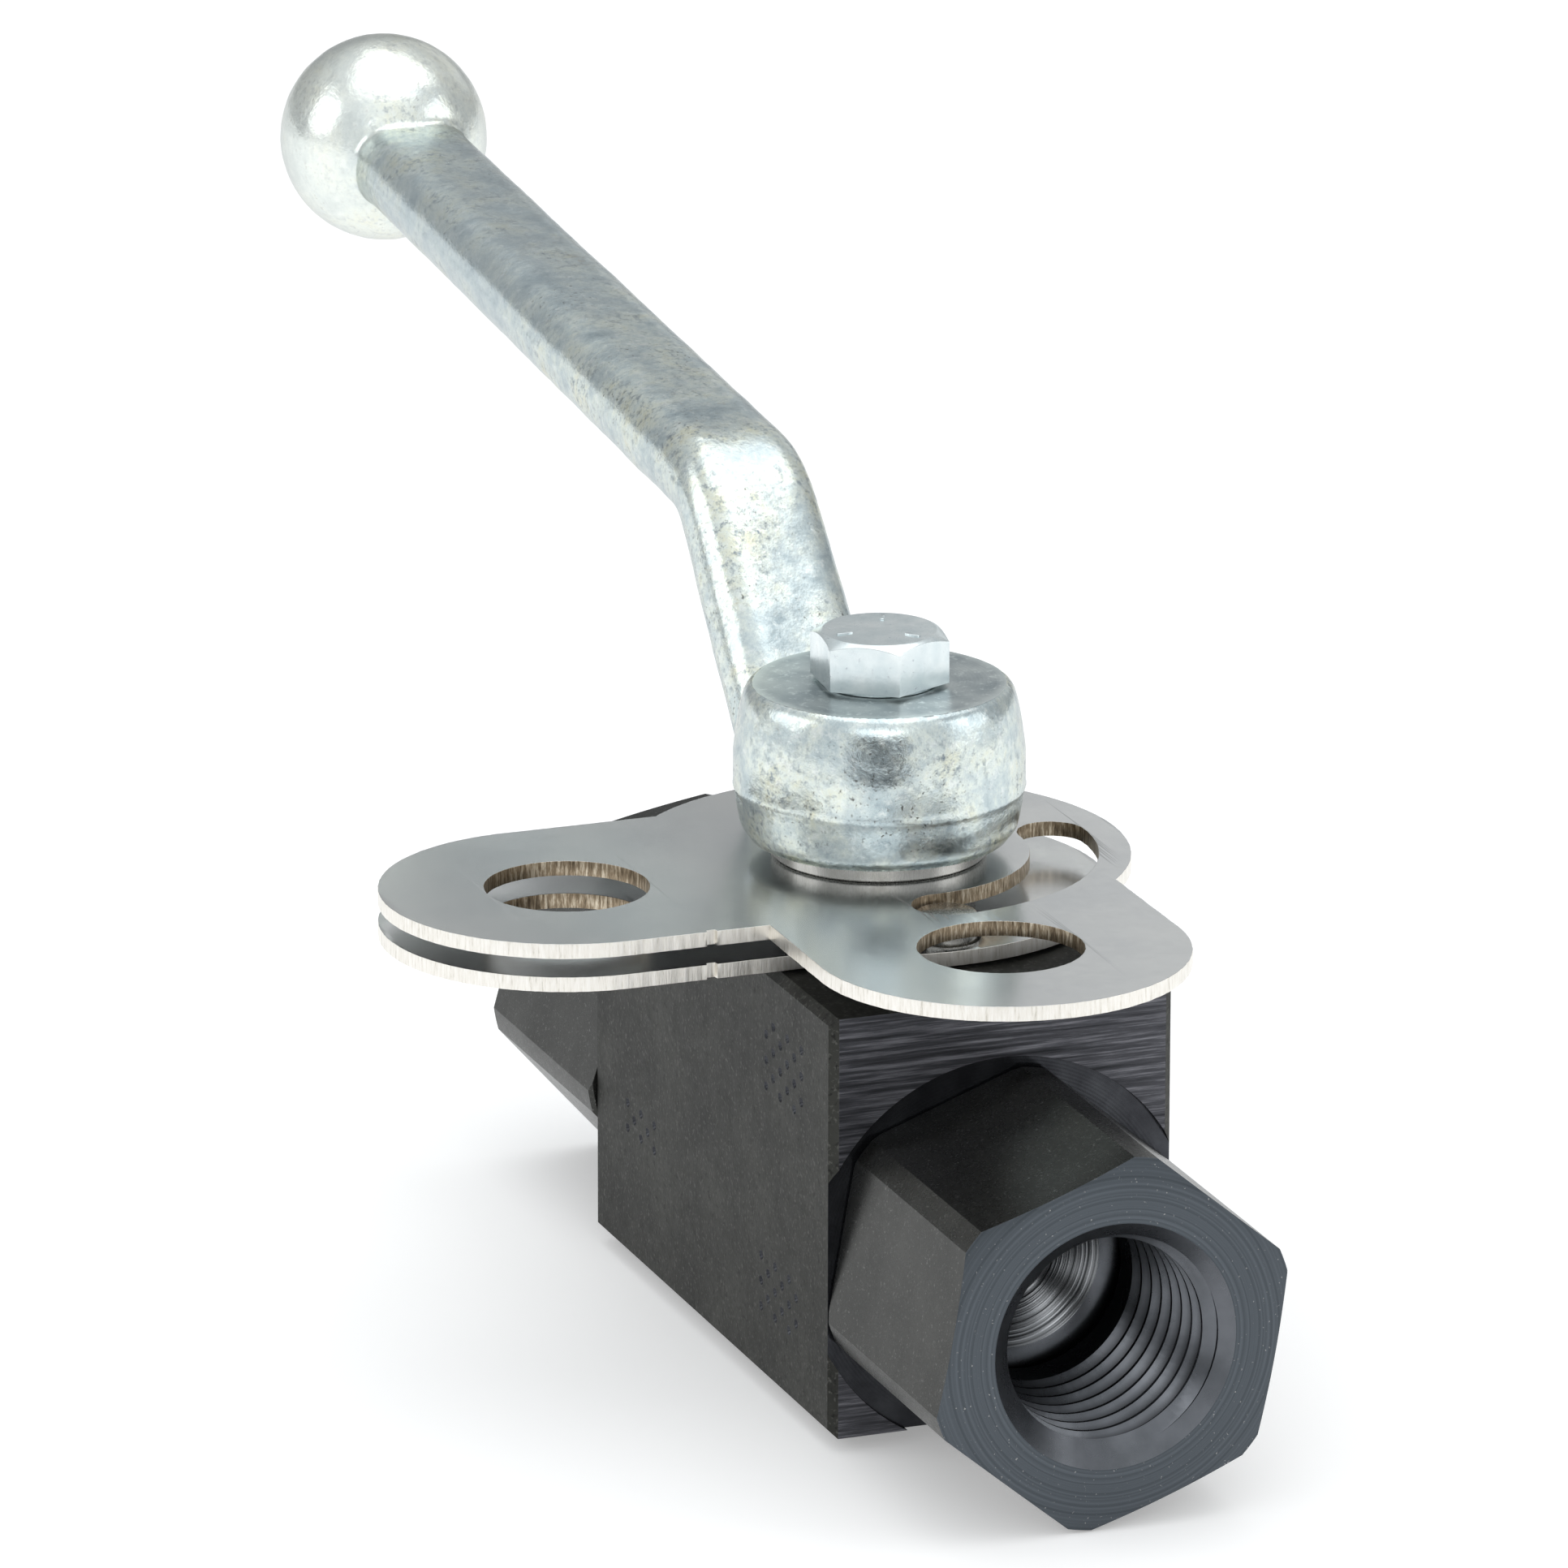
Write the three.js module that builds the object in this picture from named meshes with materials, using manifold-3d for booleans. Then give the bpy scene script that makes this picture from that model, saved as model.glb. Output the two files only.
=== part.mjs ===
// High-pressure block ball valve with hexagon end adapters, a padlock plate pair and a cranked lever.
// Millimetres. +X is the flow axis towards the front port, +Z is the stem axis, and the origin is
// the point of the block's bottom face under the stem. The lever lies along -X: the valve is open.
import * as THREE from "three";
import { mergeVertices } from "three/addons/utils/BufferGeometryUtils.js";
import Module from "manifold-3d";

const wasm = await Module();
wasm.setup();

// ---------- Driving dimensions ----------

const GAP = 0.3; // clearance between pieces that touch
const THROUGH = 1; // how far a cutter runs past the face it opens

// Block
const BLOCK_LENGTH = 66;
const BLOCK_WIDTH = 35;
const BLOCK_HEIGHT = 42.2;
const BLOCK_CHAMFER = 0.8;
const PORT_AXIS_Z = 17;
const FACE_RECESS_RADIUS = 19.5;
const FACE_RECESS_DEPTH = 0.8;

// End adapters
const SPIGOT_RADIUS = 13.2;
const SPIGOT_STAND_BACK = 1.8; // from the seat's front to the spigot's end
const SPIGOT_CHAMFER = 0.6;
const HEX_ACROSS_FLATS = 33;
const HEX_CORNER_RADIUS = 18.4;
const HEX_FACE_RADIUS = 15.8;
const HEX_FACE_CHAMFER = 0.8;
const HEX_LENGTH = 29.5;
const FRONT_HEX_TURN = 10;
const REAR_HEX_TURN = 18.5;
const BODY_SEAL_X = 19.2;
const BODY_SEAL_SECTION = 0.9;

// Ports
const THREAD_CREST_RADIUS = 9.8;
const PORT_MOUTH_RADIUS = 12.15;
const THREAD_DEPTH = 26;
const CONE_START_RADIUS = 8.8;
const CONE_ANGLE = 118;
const FLOW_RADIUS = 4.5;

// Ball and seats
const BALL_RADIUS = 9.5;
const BALL_SLOT_WIDTH = 6;
const BALL_SLOT_DEPTH = 3;
const SEAT_OUTER_RADIUS = 8.4;
const SEAT_INNER_RADIUS = 4.6;
const SEAT_LIP = 0.8; // width of the flat ring at the seat's front
const SEAT_LENGTH = 4.8;
const SEAT_SEAL_RADIUS = 7;
const SEAT_SEAL_SECTION = 0.8;

// Stem
const STEM_RADIUS = 5.5;
const STEM_SHOULDER_RADIUS = 7.2;
const STEM_SHOULDER_HEIGHT = 4.3;
const STEM_SHOULDER_RISE = 0.7; // from the top of the ball to the shoulder
const STEM_TANG_LENGTH = 10;
const STEM_SQUARE = 9;
const STEM_SQUARE_HEIGHT = 13.9;
const THRUST_WASHER_THICKNESS = 0.9;
const STEM_SEAL_SECTION = 0.65;
const STEM_SEAL_LOWER_RISE = 2; // from the pocket roof to the centre of the seal
const STEM_SEAL_UPPER_RISE = 5.2;
const BACKUP_RING_HEIGHT = 1;

// Padlock plates
const PLATE_THICKNESS = 1.5;
const UPPER_DISC_RADIUS = 24.5;
const LOWER_DISC_RADIUS = 22.5;
const EAR_RADIUS = 18.2;
const EAR_REACH = 32.2; // from the stem axis to the padlock hole's centre
const PADLOCK_HOLE_RADIUS = 8;
const NOTCH_WIDTH = 1.1;
const NOTCH_DEPTH = 0.5;
const NOTCH_REACH = 24;
const SPACER_RADIUS = 9.5;
const SPACER_THICKNESS = 1.2;

// Stop pin and its slot
const STOP_PIN_RADIUS = 3;
const STOP_PIN_REACH = 18;
const STOP_PIN_DEPTH = 7.9; // into the block
const STOP_PIN_STAND = 0.8; // above the underside of the upper plate
const STOP_PIN_CHAMFER = 0.5;
const STOP_SLOT_CLEARANCE = 0.35; // on each side of the pin

// Hub and lever
const HUB_WASHER_RADIUS = 10.5;
const HUB_WASHER_THICKNESS = 1.3;
const HUB_HEIGHT = 15.3;
const HUB_BASE_RADIUS = 12.5;
const HUB_BELT_RADIUS = 14.2;
const HUB_TOP_RADIUS = 13;
const HUB_EDGE = 1;
const HUB_BELT_LOW = 5.8;
const HUB_BELT_HIGH = 8.8;
const ARM_SLOPE = 47;
const ARM_TAIL_SLOPE = 4.8;
const ARM_RISE_LENGTH = 37.85;
const ARM_TAIL_LENGTH = 109;
const ARM_ROOT_DROP = 2.5; // the centre line starts this far under the hub's bottom
const ARM_BEND_RADIUS = 10;
const ARM_THICKNESS = 8.8;
const ARM_CORNER_RADIUS = 2.8;
const ARM_ROOT_WIDTH = 15;
const ARM_BEND_WIDTH = 13.5;
const ARM_TIP_WIDTH = 12.5;
const KNOB_RADIUS = 11;

// Bolt
const BOLT_RADIUS = 3;
const BOLT_LENGTH = 15;
const BOLT_HEAD_FLATS = 12;
const BOLT_HEAD_HEIGHT = 5;
const BOLT_HEAD_CHAMFER = 0.8;
const BOLT_HEAD_TOP_RADIUS = 5.6;
const BOLT_HEAD_TURN = -25;

// Facets of round shapes
const FINE = 48;
const MEDIUM = 28;
const SMALL = 18;
const SEAL_SECTION_SIDES = 6;
const HUB_SIDE_STEPS = 7;

// ---------- Places that follow from the dimensions ----------

const recessFloorX = BLOCK_LENGTH / 2 - FACE_RECESS_DEPTH;
const hexStartX = recessFloorX + GAP;
const hexEndX = hexStartX + HEX_LENGTH;
const boreRadius = SPIGOT_RADIUS + GAP;

const seatFrontX = Math.sqrt((BALL_RADIUS + GAP) ** 2 - (SEAT_OUTER_RADIUS - SEAT_LIP) ** 2);
const seatBackX = seatFrontX + SEAT_LENGTH;
const spigotEndX = seatFrontX + SPIGOT_STAND_BACK;
const seatPocketRadius = SEAT_OUTER_RADIUS + GAP;
const seatSealX = seatBackX + GAP + SEAT_SEAL_SECTION;
const seatPocketX = seatSealX + SEAT_SEAL_SECTION + GAP;

const ballTopZ = PORT_AXIS_Z + BALL_RADIUS;
const slotFloorZ = ballTopZ - BALL_SLOT_DEPTH;
const shoulderZ = ballTopZ + STEM_SHOULDER_RISE;
const shoulderTopZ = shoulderZ + STEM_SHOULDER_HEIGHT;
const thrustWasherZ = shoulderTopZ + GAP;
const pocketRoofZ = thrustWasherZ + THRUST_WASHER_THICKNESS + GAP;
const stemHoleRadius = STEM_RADIUS + GAP;
const lowerSealZ = pocketRoofZ + STEM_SEAL_LOWER_RISE;
const upperSealZ = pocketRoofZ + STEM_SEAL_UPPER_RISE;
const backupRingZ = upperSealZ + STEM_SEAL_SECTION + GAP;
const stemSealRadius = stemHoleRadius - GAP - STEM_SEAL_SECTION;
const stemGrooveRadius = stemSealRadius - STEM_SEAL_SECTION - GAP;

const lowerPlateZ = BLOCK_HEIGHT + GAP;
const spacerZ = lowerPlateZ + PLATE_THICKNESS + GAP;
const stemSquareZ = spacerZ + SPACER_THICKNESS + GAP / 3;
const upperPlateZ = spacerZ + SPACER_THICKNESS + GAP;
const hubWasherZ = upperPlateZ + PLATE_THICKNESS + GAP;
const hubZ = hubWasherZ + HUB_WASHER_THICKNESS + GAP;
const hubTopZ = hubZ + HUB_HEIGHT;
const stemTopZ = stemSquareZ + STEM_SQUARE_HEIGHT;
const squareHole = STEM_SQUARE + 2 * GAP;
const boltHoleRadius = BOLT_RADIUS + GAP;
const boltHeadZ = hubTopZ + GAP;

const pinHoleRadius = STOP_PIN_RADIUS + GAP;
const pinBottomZ = BLOCK_HEIGHT - STOP_PIN_DEPTH;
const pinTopZ = upperPlateZ + STOP_PIN_STAND;

// ---------- Solids ----------

const radians = THREE.MathUtils.degToRad;

// A closed three.js geometry as a solid that can be cut and joined.
function solidOf(geometry) {
  geometry.deleteAttribute("normal");
  geometry.deleteAttribute("uv");
  const merged = mergeVertices(geometry, 1e-4);
  const corners = merged.index.array;
  const kept = [];
  for (let i = 0; i < corners.length; i += 3) {
    const [a, b, c] = corners.slice(i, i + 3);
    if (a !== b && b !== c && c !== a) kept.push(a, b, c);
  }
  const vertProperties = merged.attributes.position.array;
  const triVerts = new Uint32Array(kept);
  return new wasm.Manifold(new wasm.Mesh({ numProp: 3, vertProperties, triVerts }));
}

// A solid as a three.js geometry.
function geometryOf(solid) {
  const { vertProperties, triVerts } = solid.getMesh();
  const geometry = new THREE.BufferGeometry();
  geometry.setAttribute("position", new THREE.BufferAttribute(vertProperties, 3));
  geometry.setIndex(new THREE.BufferAttribute(triVerts, 1));
  geometry.computeVertexNormals();
  return geometry;
}

// A turned solid. The profile is [radius, height] pairs, with the outside drawn upwards.
function turned(profile, facets) {
  const points = profile.map(([radius, height]) => new THREE.Vector2(radius, height));
  return new THREE.LatheGeometry(points, facets);
}

const turnedAboutZ = (profile, facets) => solidOf(turned(profile, facets).rotateX(Math.PI / 2));

// The same about the flow axis: the profile's heights are X.
function turnedAboutFlow(profile, facets) {
  return solidOf(turned(profile, facets).rotateZ(-Math.PI / 2).translate(0, 0, PORT_AXIS_Z));
}

const rodProfile = (radius, low, high) => [[0, low], [radius, low], [radius, high], [0, high]];

// A closed profile of a ring with square edges.
function ringProfile(inner, outer, low, high) {
  return [[inner, low], [outer, low], [outer, high], [inner, high], [inner, low]];
}

// A closed profile of a ring with a round section.
function oRingProfile(radius, height, section) {
  const profile = [];
  for (let i = 0; i <= SEAL_SECTION_SIDES; i += 1) {
    const angle = (2 * Math.PI * i) / SEAL_SECTION_SIDES;
    profile.push([radius + section * Math.cos(angle), height + section * Math.sin(angle)]);
  }
  return profile;
}

const rodZ = (radius, low, high, facets) => turnedAboutZ(rodProfile(radius, low, high), facets);

const rodFlow = (radius, low, high, facets) => turnedAboutFlow(rodProfile(radius, low, high), facets);

function boxSolid(low, high) {
  const size = low.map((value, i) => high[i] - value);
  const middle = low.map((value, i) => (high[i] + value) / 2);
  return solidOf(new THREE.BoxGeometry(...size).translate(...middle));
}

// A flat outline in the XY plane, drawn up from one height to another.
function plate(shape, low, high, curveSegments = FINE / 4) {
  const options = { depth: high - low, bevelEnabled: false, curveSegments };
  return solidOf(new THREE.ExtrudeGeometry(shape, options).translate(0, 0, low));
}

// An outline of [y, z] points, drawn along the flow axis.
function flowPrism(points, low, high) {
  const shape = new THREE.Shape(points.map(([y, z]) => new THREE.Vector2(y, z)));
  const geometry = new THREE.ExtrudeGeometry(shape, { depth: high - low, bevelEnabled: false });
  return solidOf(geometry.rotateX(Math.PI / 2).rotateZ(Math.PI / 2).translate(low, 0, 0));
}

// The corners of a rectangle with its corners cut off at 45 degrees.
function chamferedRectangle([left, bottom], [right, top], cut) {
  return [
    [left + cut, bottom],
    [right - cut, bottom],
    [right, bottom + cut],
    [right, top - cut],
    [right - cut, top],
    [left + cut, top],
    [left, top - cut],
    [left, bottom + cut],
  ];
}

// The corners of a regular hexagon, its first corner turned from the second axis towards the first.
function hexagon(acrossFlats, turn, [centreA, centreB]) {
  const corner = acrossFlats / Math.sqrt(3);
  return Array.from({ length: 6 }, (_, i) => {
    const angle = radians(turn + 60 * i);
    return [centreA + corner * Math.sin(angle), centreB + corner * Math.cos(angle)];
  });
}

// ---------- Block ----------

function valveBlock() {
  const half = BLOCK_LENGTH / 2;
  const side = BLOCK_WIDTH / 2;
  const section = chamferedRectangle([-side, 0], [side, BLOCK_HEIGHT], BLOCK_CHAMFER);
  const plan = chamferedRectangle([-half, -side], [half, side], BLOCK_CHAMFER);
  const planShape = new THREE.Shape(plan.map(([x, y]) => new THREE.Vector2(x, y)));
  const pinFloor = pinBottomZ - GAP;
  return flowPrism(section, -half, half)
    .intersect(plate(planShape, -THROUGH, BLOCK_HEIGHT + THROUGH))
    .subtract(rodFlow(boreRadius, -half - THROUGH, half + THROUGH, FINE))
    .subtract(rodFlow(FACE_RECESS_RADIUS, recessFloorX, half + THROUGH, FINE))
    .subtract(rodFlow(FACE_RECESS_RADIUS, -half - THROUGH, -recessFloorX, FINE))
    .subtract(rodZ(STEM_SHOULDER_RADIUS + GAP, PORT_AXIS_Z, pocketRoofZ, MEDIUM))
    .subtract(rodZ(stemHoleRadius, PORT_AXIS_Z, BLOCK_HEIGHT + THROUGH, MEDIUM))
    .subtract(rodZ(pinHoleRadius, pinFloor, BLOCK_HEIGHT + THROUGH, SMALL).translate(STOP_PIN_REACH, 0, 0));
}

// ---------- End adapters ----------

// The front adapter; the rear one is the same piece turned half round, with its own hexagon angle.
function adapter(hexTurn) {
  const sealHalf = BODY_SEAL_SECTION + GAP;
  const grooveRadius = SPIGOT_RADIUS - 2 * BODY_SEAL_SECTION - GAP;
  const threadEndX = hexEndX - THREAD_DEPTH;
  const coneRun = (CONE_START_RADIUS - FLOW_RADIUS) / Math.tan(radians(CONE_ANGLE / 2));
  const spigot = [
    [0, spigotEndX],
    [SPIGOT_RADIUS - SPIGOT_CHAMFER, spigotEndX],
    [SPIGOT_RADIUS, spigotEndX + SPIGOT_CHAMFER],
    [SPIGOT_RADIUS, BODY_SEAL_X - sealHalf],
    [grooveRadius, BODY_SEAL_X - sealHalf],
    [grooveRadius, BODY_SEAL_X + sealHalf],
    [SPIGOT_RADIUS, BODY_SEAL_X + sealHalf],
    [SPIGOT_RADIUS, hexStartX + THROUGH],
    [0, hexStartX + THROUGH],
  ];
  const hexEnvelope = [
    [0, hexStartX],
    [HEX_CORNER_RADIUS, hexStartX],
    [HEX_CORNER_RADIUS, hexEndX - HEX_FACE_CHAMFER],
    [HEX_FACE_RADIUS, hexEndX],
    [0, hexEndX],
  ];
  const passage = [
    [0, spigotEndX - THROUGH],
    [seatPocketRadius, spigotEndX - THROUGH],
    [seatPocketRadius, seatPocketX],
    [FLOW_RADIUS, seatPocketX],
    [FLOW_RADIUS, threadEndX - coneRun],
    [CONE_START_RADIUS, threadEndX],
    [THREAD_CREST_RADIUS, threadEndX],
    [THREAD_CREST_RADIUS, hexEndX - (PORT_MOUTH_RADIUS - THREAD_CREST_RADIUS)],
    [PORT_MOUTH_RADIUS + THROUGH, hexEndX + THROUGH],
    [0, hexEndX + THROUGH],
  ];
  const corners = hexagon(HEX_ACROSS_FLATS, hexTurn, [0, PORT_AXIS_Z]);
  return flowPrism(corners, hexStartX, hexEndX)
    .intersect(turnedAboutFlow(hexEnvelope, FINE))
    .add(turnedAboutFlow(spigot, FINE))
    .subtract(turnedAboutFlow(passage, MEDIUM));
}

function adapterSeal() {
  const radius = SPIGOT_RADIUS - BODY_SEAL_SECTION;
  return turnedAboutFlow(oRingProfile(radius, BODY_SEAL_X, BODY_SEAL_SECTION), MEDIUM);
}

// ---------- Ball and seats ----------

function ball() {
  const sphere = new THREE.SphereGeometry(BALL_RADIUS, MEDIUM, SMALL).rotateX(Math.PI / 2);
  const slotSide = BALL_SLOT_WIDTH / 2;
  const slot = boxSolid([-slotSide, -BALL_RADIUS, slotFloorZ], [slotSide, BALL_RADIUS, ballTopZ + THROUGH]);
  return solidOf(sphere.translate(0, 0, PORT_AXIS_Z))
    .subtract(rodFlow(FLOW_RADIUS, -BALL_RADIUS - THROUGH, BALL_RADIUS + THROUGH, MEDIUM))
    .subtract(slot);
}

function ballSeat() {
  const ring = ringProfile(SEAT_INNER_RADIUS, SEAT_OUTER_RADIUS, seatFrontX, seatBackX);
  const clearance = new THREE.SphereGeometry(BALL_RADIUS + GAP, MEDIUM, SMALL).rotateZ(Math.PI / 2);
  return turnedAboutFlow(ring, MEDIUM).subtract(solidOf(clearance.translate(0, 0, PORT_AXIS_Z)));
}

function seatSeal() {
  return turnedAboutFlow(oRingProfile(SEAT_SEAL_RADIUS, seatSealX, SEAT_SEAL_SECTION), MEDIUM);
}

// ---------- Stem ----------

function stem() {
  const grooveHalf = STEM_SEAL_SECTION + GAP;
  const upperGrooveTop = backupRingZ + BACKUP_RING_HEIGHT + GAP;
  const profile = [
    [0, shoulderZ],
    [STEM_SHOULDER_RADIUS, shoulderZ],
    [STEM_SHOULDER_RADIUS, shoulderTopZ],
    [STEM_RADIUS, shoulderTopZ],
    [STEM_RADIUS, lowerSealZ - grooveHalf],
    [stemGrooveRadius, lowerSealZ - grooveHalf],
    [stemGrooveRadius, lowerSealZ + grooveHalf],
    [STEM_RADIUS, lowerSealZ + grooveHalf],
    [STEM_RADIUS, upperSealZ - grooveHalf],
    [stemGrooveRadius, upperSealZ - grooveHalf],
    [stemGrooveRadius, upperGrooveTop],
    [STEM_RADIUS, upperGrooveTop],
    [STEM_RADIUS, stemSquareZ + THROUGH],
    [0, stemSquareZ + THROUGH],
  ];
  const squareSide = STEM_SQUARE / 2;
  const square = boxSolid([-squareSide, -squareSide, stemSquareZ], [squareSide, squareSide, stemTopZ]);
  const collar = boxSolid([-STEM_RADIUS, -STEM_RADIUS, stemSquareZ], [STEM_RADIUS, STEM_RADIUS, stemTopZ]);
  const tangX = BALL_SLOT_WIDTH / 2 - GAP;
  const tangY = STEM_TANG_LENGTH / 2;
  const tang = boxSolid([-tangX, -tangY, slotFloorZ + GAP], [tangX, tangY, shoulderZ + THROUGH]);
  const tapping = rodZ(boltHoleRadius, boltHeadZ - BOLT_LENGTH - GAP, stemTopZ + THROUGH, SMALL);
  return turnedAboutZ(profile, MEDIUM)
    .subtract(collar)
    .add(rodZ(STEM_RADIUS, stemSquareZ - THROUGH / 2, stemTopZ, MEDIUM).intersect(square))
    .add(tang)
    .subtract(tapping);
}

function stemThrustWasher() {
  const top = thrustWasherZ + THRUST_WASHER_THICKNESS;
  return turnedAboutZ(ringProfile(stemHoleRadius, STEM_SHOULDER_RADIUS, thrustWasherZ, top), MEDIUM);
}

function stemSeal(height) {
  return turnedAboutZ(oRingProfile(stemSealRadius, height, STEM_SEAL_SECTION), MEDIUM);
}

function stemBackupRing() {
  const inner = stemGrooveRadius + GAP;
  const profile = ringProfile(inner, STEM_RADIUS, backupRingZ, backupRingZ + BACKUP_RING_HEIGHT);
  return turnedAboutZ(profile, MEDIUM);
}

// ---------- Padlock plates and stop pin ----------

// A padlock ear that reaches from the stem axis towards -Y.
function ear(low, high) {
  const shape = new THREE.Shape();
  shape.moveTo(EAR_RADIUS, 0);
  shape.lineTo(-EAR_RADIUS, 0);
  shape.absarc(0, -EAR_REACH, EAR_RADIUS, Math.PI, 2 * Math.PI, false);
  return plate(shape, low, high);
}

// What is cut from an ear: its padlock hole, and the notch that the laser leaves in its straight edge.
function earCuts(low, high) {
  const notchInside = EAR_RADIUS - NOTCH_DEPTH;
  const notchLow = -NOTCH_REACH - NOTCH_WIDTH / 2;
  const notch = boxSolid([notchInside, notchLow, low], [EAR_RADIUS + THROUGH, notchLow + NOTCH_WIDTH, high]);
  return rodZ(PADLOCK_HOLE_RADIUS, low, high, MEDIUM).translate(0, -EAR_REACH, 0).add(notch);
}

// The quarter-circle slot that the stop pin runs in, from +X to +Y.
function stopSlot(low, high) {
  const half = STOP_PIN_RADIUS + STOP_SLOT_CLEARANCE;
  const quarter = Math.PI / 2;
  const shape = new THREE.Shape();
  shape.absarc(0, 0, STOP_PIN_REACH + half, 0, quarter, false);
  shape.absarc(0, STOP_PIN_REACH, half, quarter, 3 * quarter, false);
  shape.absarc(0, 0, STOP_PIN_REACH - half, quarter, 0, true);
  shape.absarc(STOP_PIN_REACH, 0, half, Math.PI, 2 * Math.PI, false);
  return plate(shape, low, high);
}

function lowerLockPlate() {
  const low = lowerPlateZ;
  const high = lowerPlateZ + PLATE_THICKNESS;
  return rodZ(LOWER_DISC_RADIUS, low, high, FINE)
    .add(ear(low, high))
    .subtract(earCuts(low - THROUGH, high + THROUGH))
    .subtract(rodZ(stemHoleRadius, low - THROUGH, high + THROUGH, MEDIUM))
    .subtract(rodZ(pinHoleRadius, low - THROUGH, high + THROUGH, SMALL).translate(STOP_PIN_REACH, 0, 0));
}

function upperLockPlate() {
  const low = upperPlateZ;
  const high = upperPlateZ + PLATE_THICKNESS;
  const socket = squareHole / 2;
  const frontHole = rodZ(PADLOCK_HOLE_RADIUS, low - THROUGH, high + THROUGH, MEDIUM);
  return rodZ(UPPER_DISC_RADIUS, low, high, FINE)
    .add(ear(low, high))
    .add(ear(low, high).rotate([0, 0, 90]))
    .subtract(earCuts(low - THROUGH, high + THROUGH))
    .subtract(frontHole.translate(EAR_REACH, 0, 0))
    .subtract(stopSlot(low - THROUGH, high + THROUGH))
    .subtract(boxSolid([-socket, -socket, low - THROUGH], [socket, socket, high + THROUGH]));
}

function plateSpacer() {
  const high = spacerZ + SPACER_THICKNESS;
  return turnedAboutZ(ringProfile(stemHoleRadius, SPACER_RADIUS, spacerZ, high), MEDIUM);
}

function stopPin() {
  const inner = STOP_PIN_RADIUS - STOP_PIN_CHAMFER;
  const profile = [
    [0, pinBottomZ],
    [inner, pinBottomZ],
    [STOP_PIN_RADIUS, pinBottomZ + STOP_PIN_CHAMFER],
    [STOP_PIN_RADIUS, pinTopZ - STOP_PIN_CHAMFER],
    [inner, pinTopZ],
    [0, pinTopZ],
  ];
  return turnedAboutZ(profile, SMALL).translate(STOP_PIN_REACH, 0, 0);
}

// ---------- Hub, lever and bolt ----------

function hubWasher() {
  const high = hubWasherZ + HUB_WASHER_THICKNESS;
  const socket = squareHole / 2;
  return rodZ(HUB_WASHER_RADIUS, hubWasherZ, high, MEDIUM)
    .subtract(boxSolid([-socket, -socket, hubWasherZ - THROUGH], [socket, socket, high + THROUGH]));
}

function hub() {
  const barrel = new THREE.SplineCurve([
    new THREE.Vector2(HUB_BASE_RADIUS, 0),
    new THREE.Vector2(HUB_BASE_RADIUS + HUB_EDGE, HUB_EDGE),
    new THREE.Vector2(HUB_BELT_RADIUS, HUB_BELT_LOW),
    new THREE.Vector2(HUB_BELT_RADIUS, HUB_BELT_HIGH),
    new THREE.Vector2(HUB_TOP_RADIUS + HUB_EDGE / 2, HUB_HEIGHT - HUB_EDGE),
    new THREE.Vector2(HUB_TOP_RADIUS, HUB_HEIGHT),
  ]);
  const side = barrel.getPoints(HUB_SIDE_STEPS).map((point) => [point.x, hubZ + point.y]);
  return turnedAboutZ([[0, hubZ], ...side, [0, hubTopZ]], FINE);
}

// The lever's width at a distance from the stem axis.
function armWidth(reach, bendReach, tipReach) {
  const { clamp, mapLinear } = THREE.MathUtils;
  if (reach < bendReach) {
    const inner = clamp(reach, HUB_BASE_RADIUS, bendReach);
    return mapLinear(inner, HUB_BASE_RADIUS, bendReach, ARM_ROOT_WIDTH, ARM_BEND_WIDTH);
  }
  const outer = clamp(reach, bendReach, tipReach);
  return mapLinear(outer, bendReach, tipReach, ARM_BEND_WIDTH, ARM_TIP_WIDTH);
}

// The unit vector at an angle that is measured from +X towards +Z.
const heading = (angle) => new THREE.Vector2(Math.cos(radians(angle)), Math.sin(radians(angle)));

const along = (point, direction, run) => point.clone().addScaledVector(direction, run);

// The lever's centre line in the XZ plane: a rise, a bend and a long tail.
function armCentreLine() {
  const rise = heading(180 - ARM_SLOPE);
  const tail = heading(180 - ARM_TAIL_SLOPE);
  const root = new THREE.Vector2(-HUB_BASE_RADIUS, hubZ - ARM_ROOT_DROP);
  const bend = along(root, rise, ARM_RISE_LENGTH);
  const tip = along(bend, tail, ARM_TAIL_LENGTH);
  return { rise, tail, root, bend, tip };
}

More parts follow.
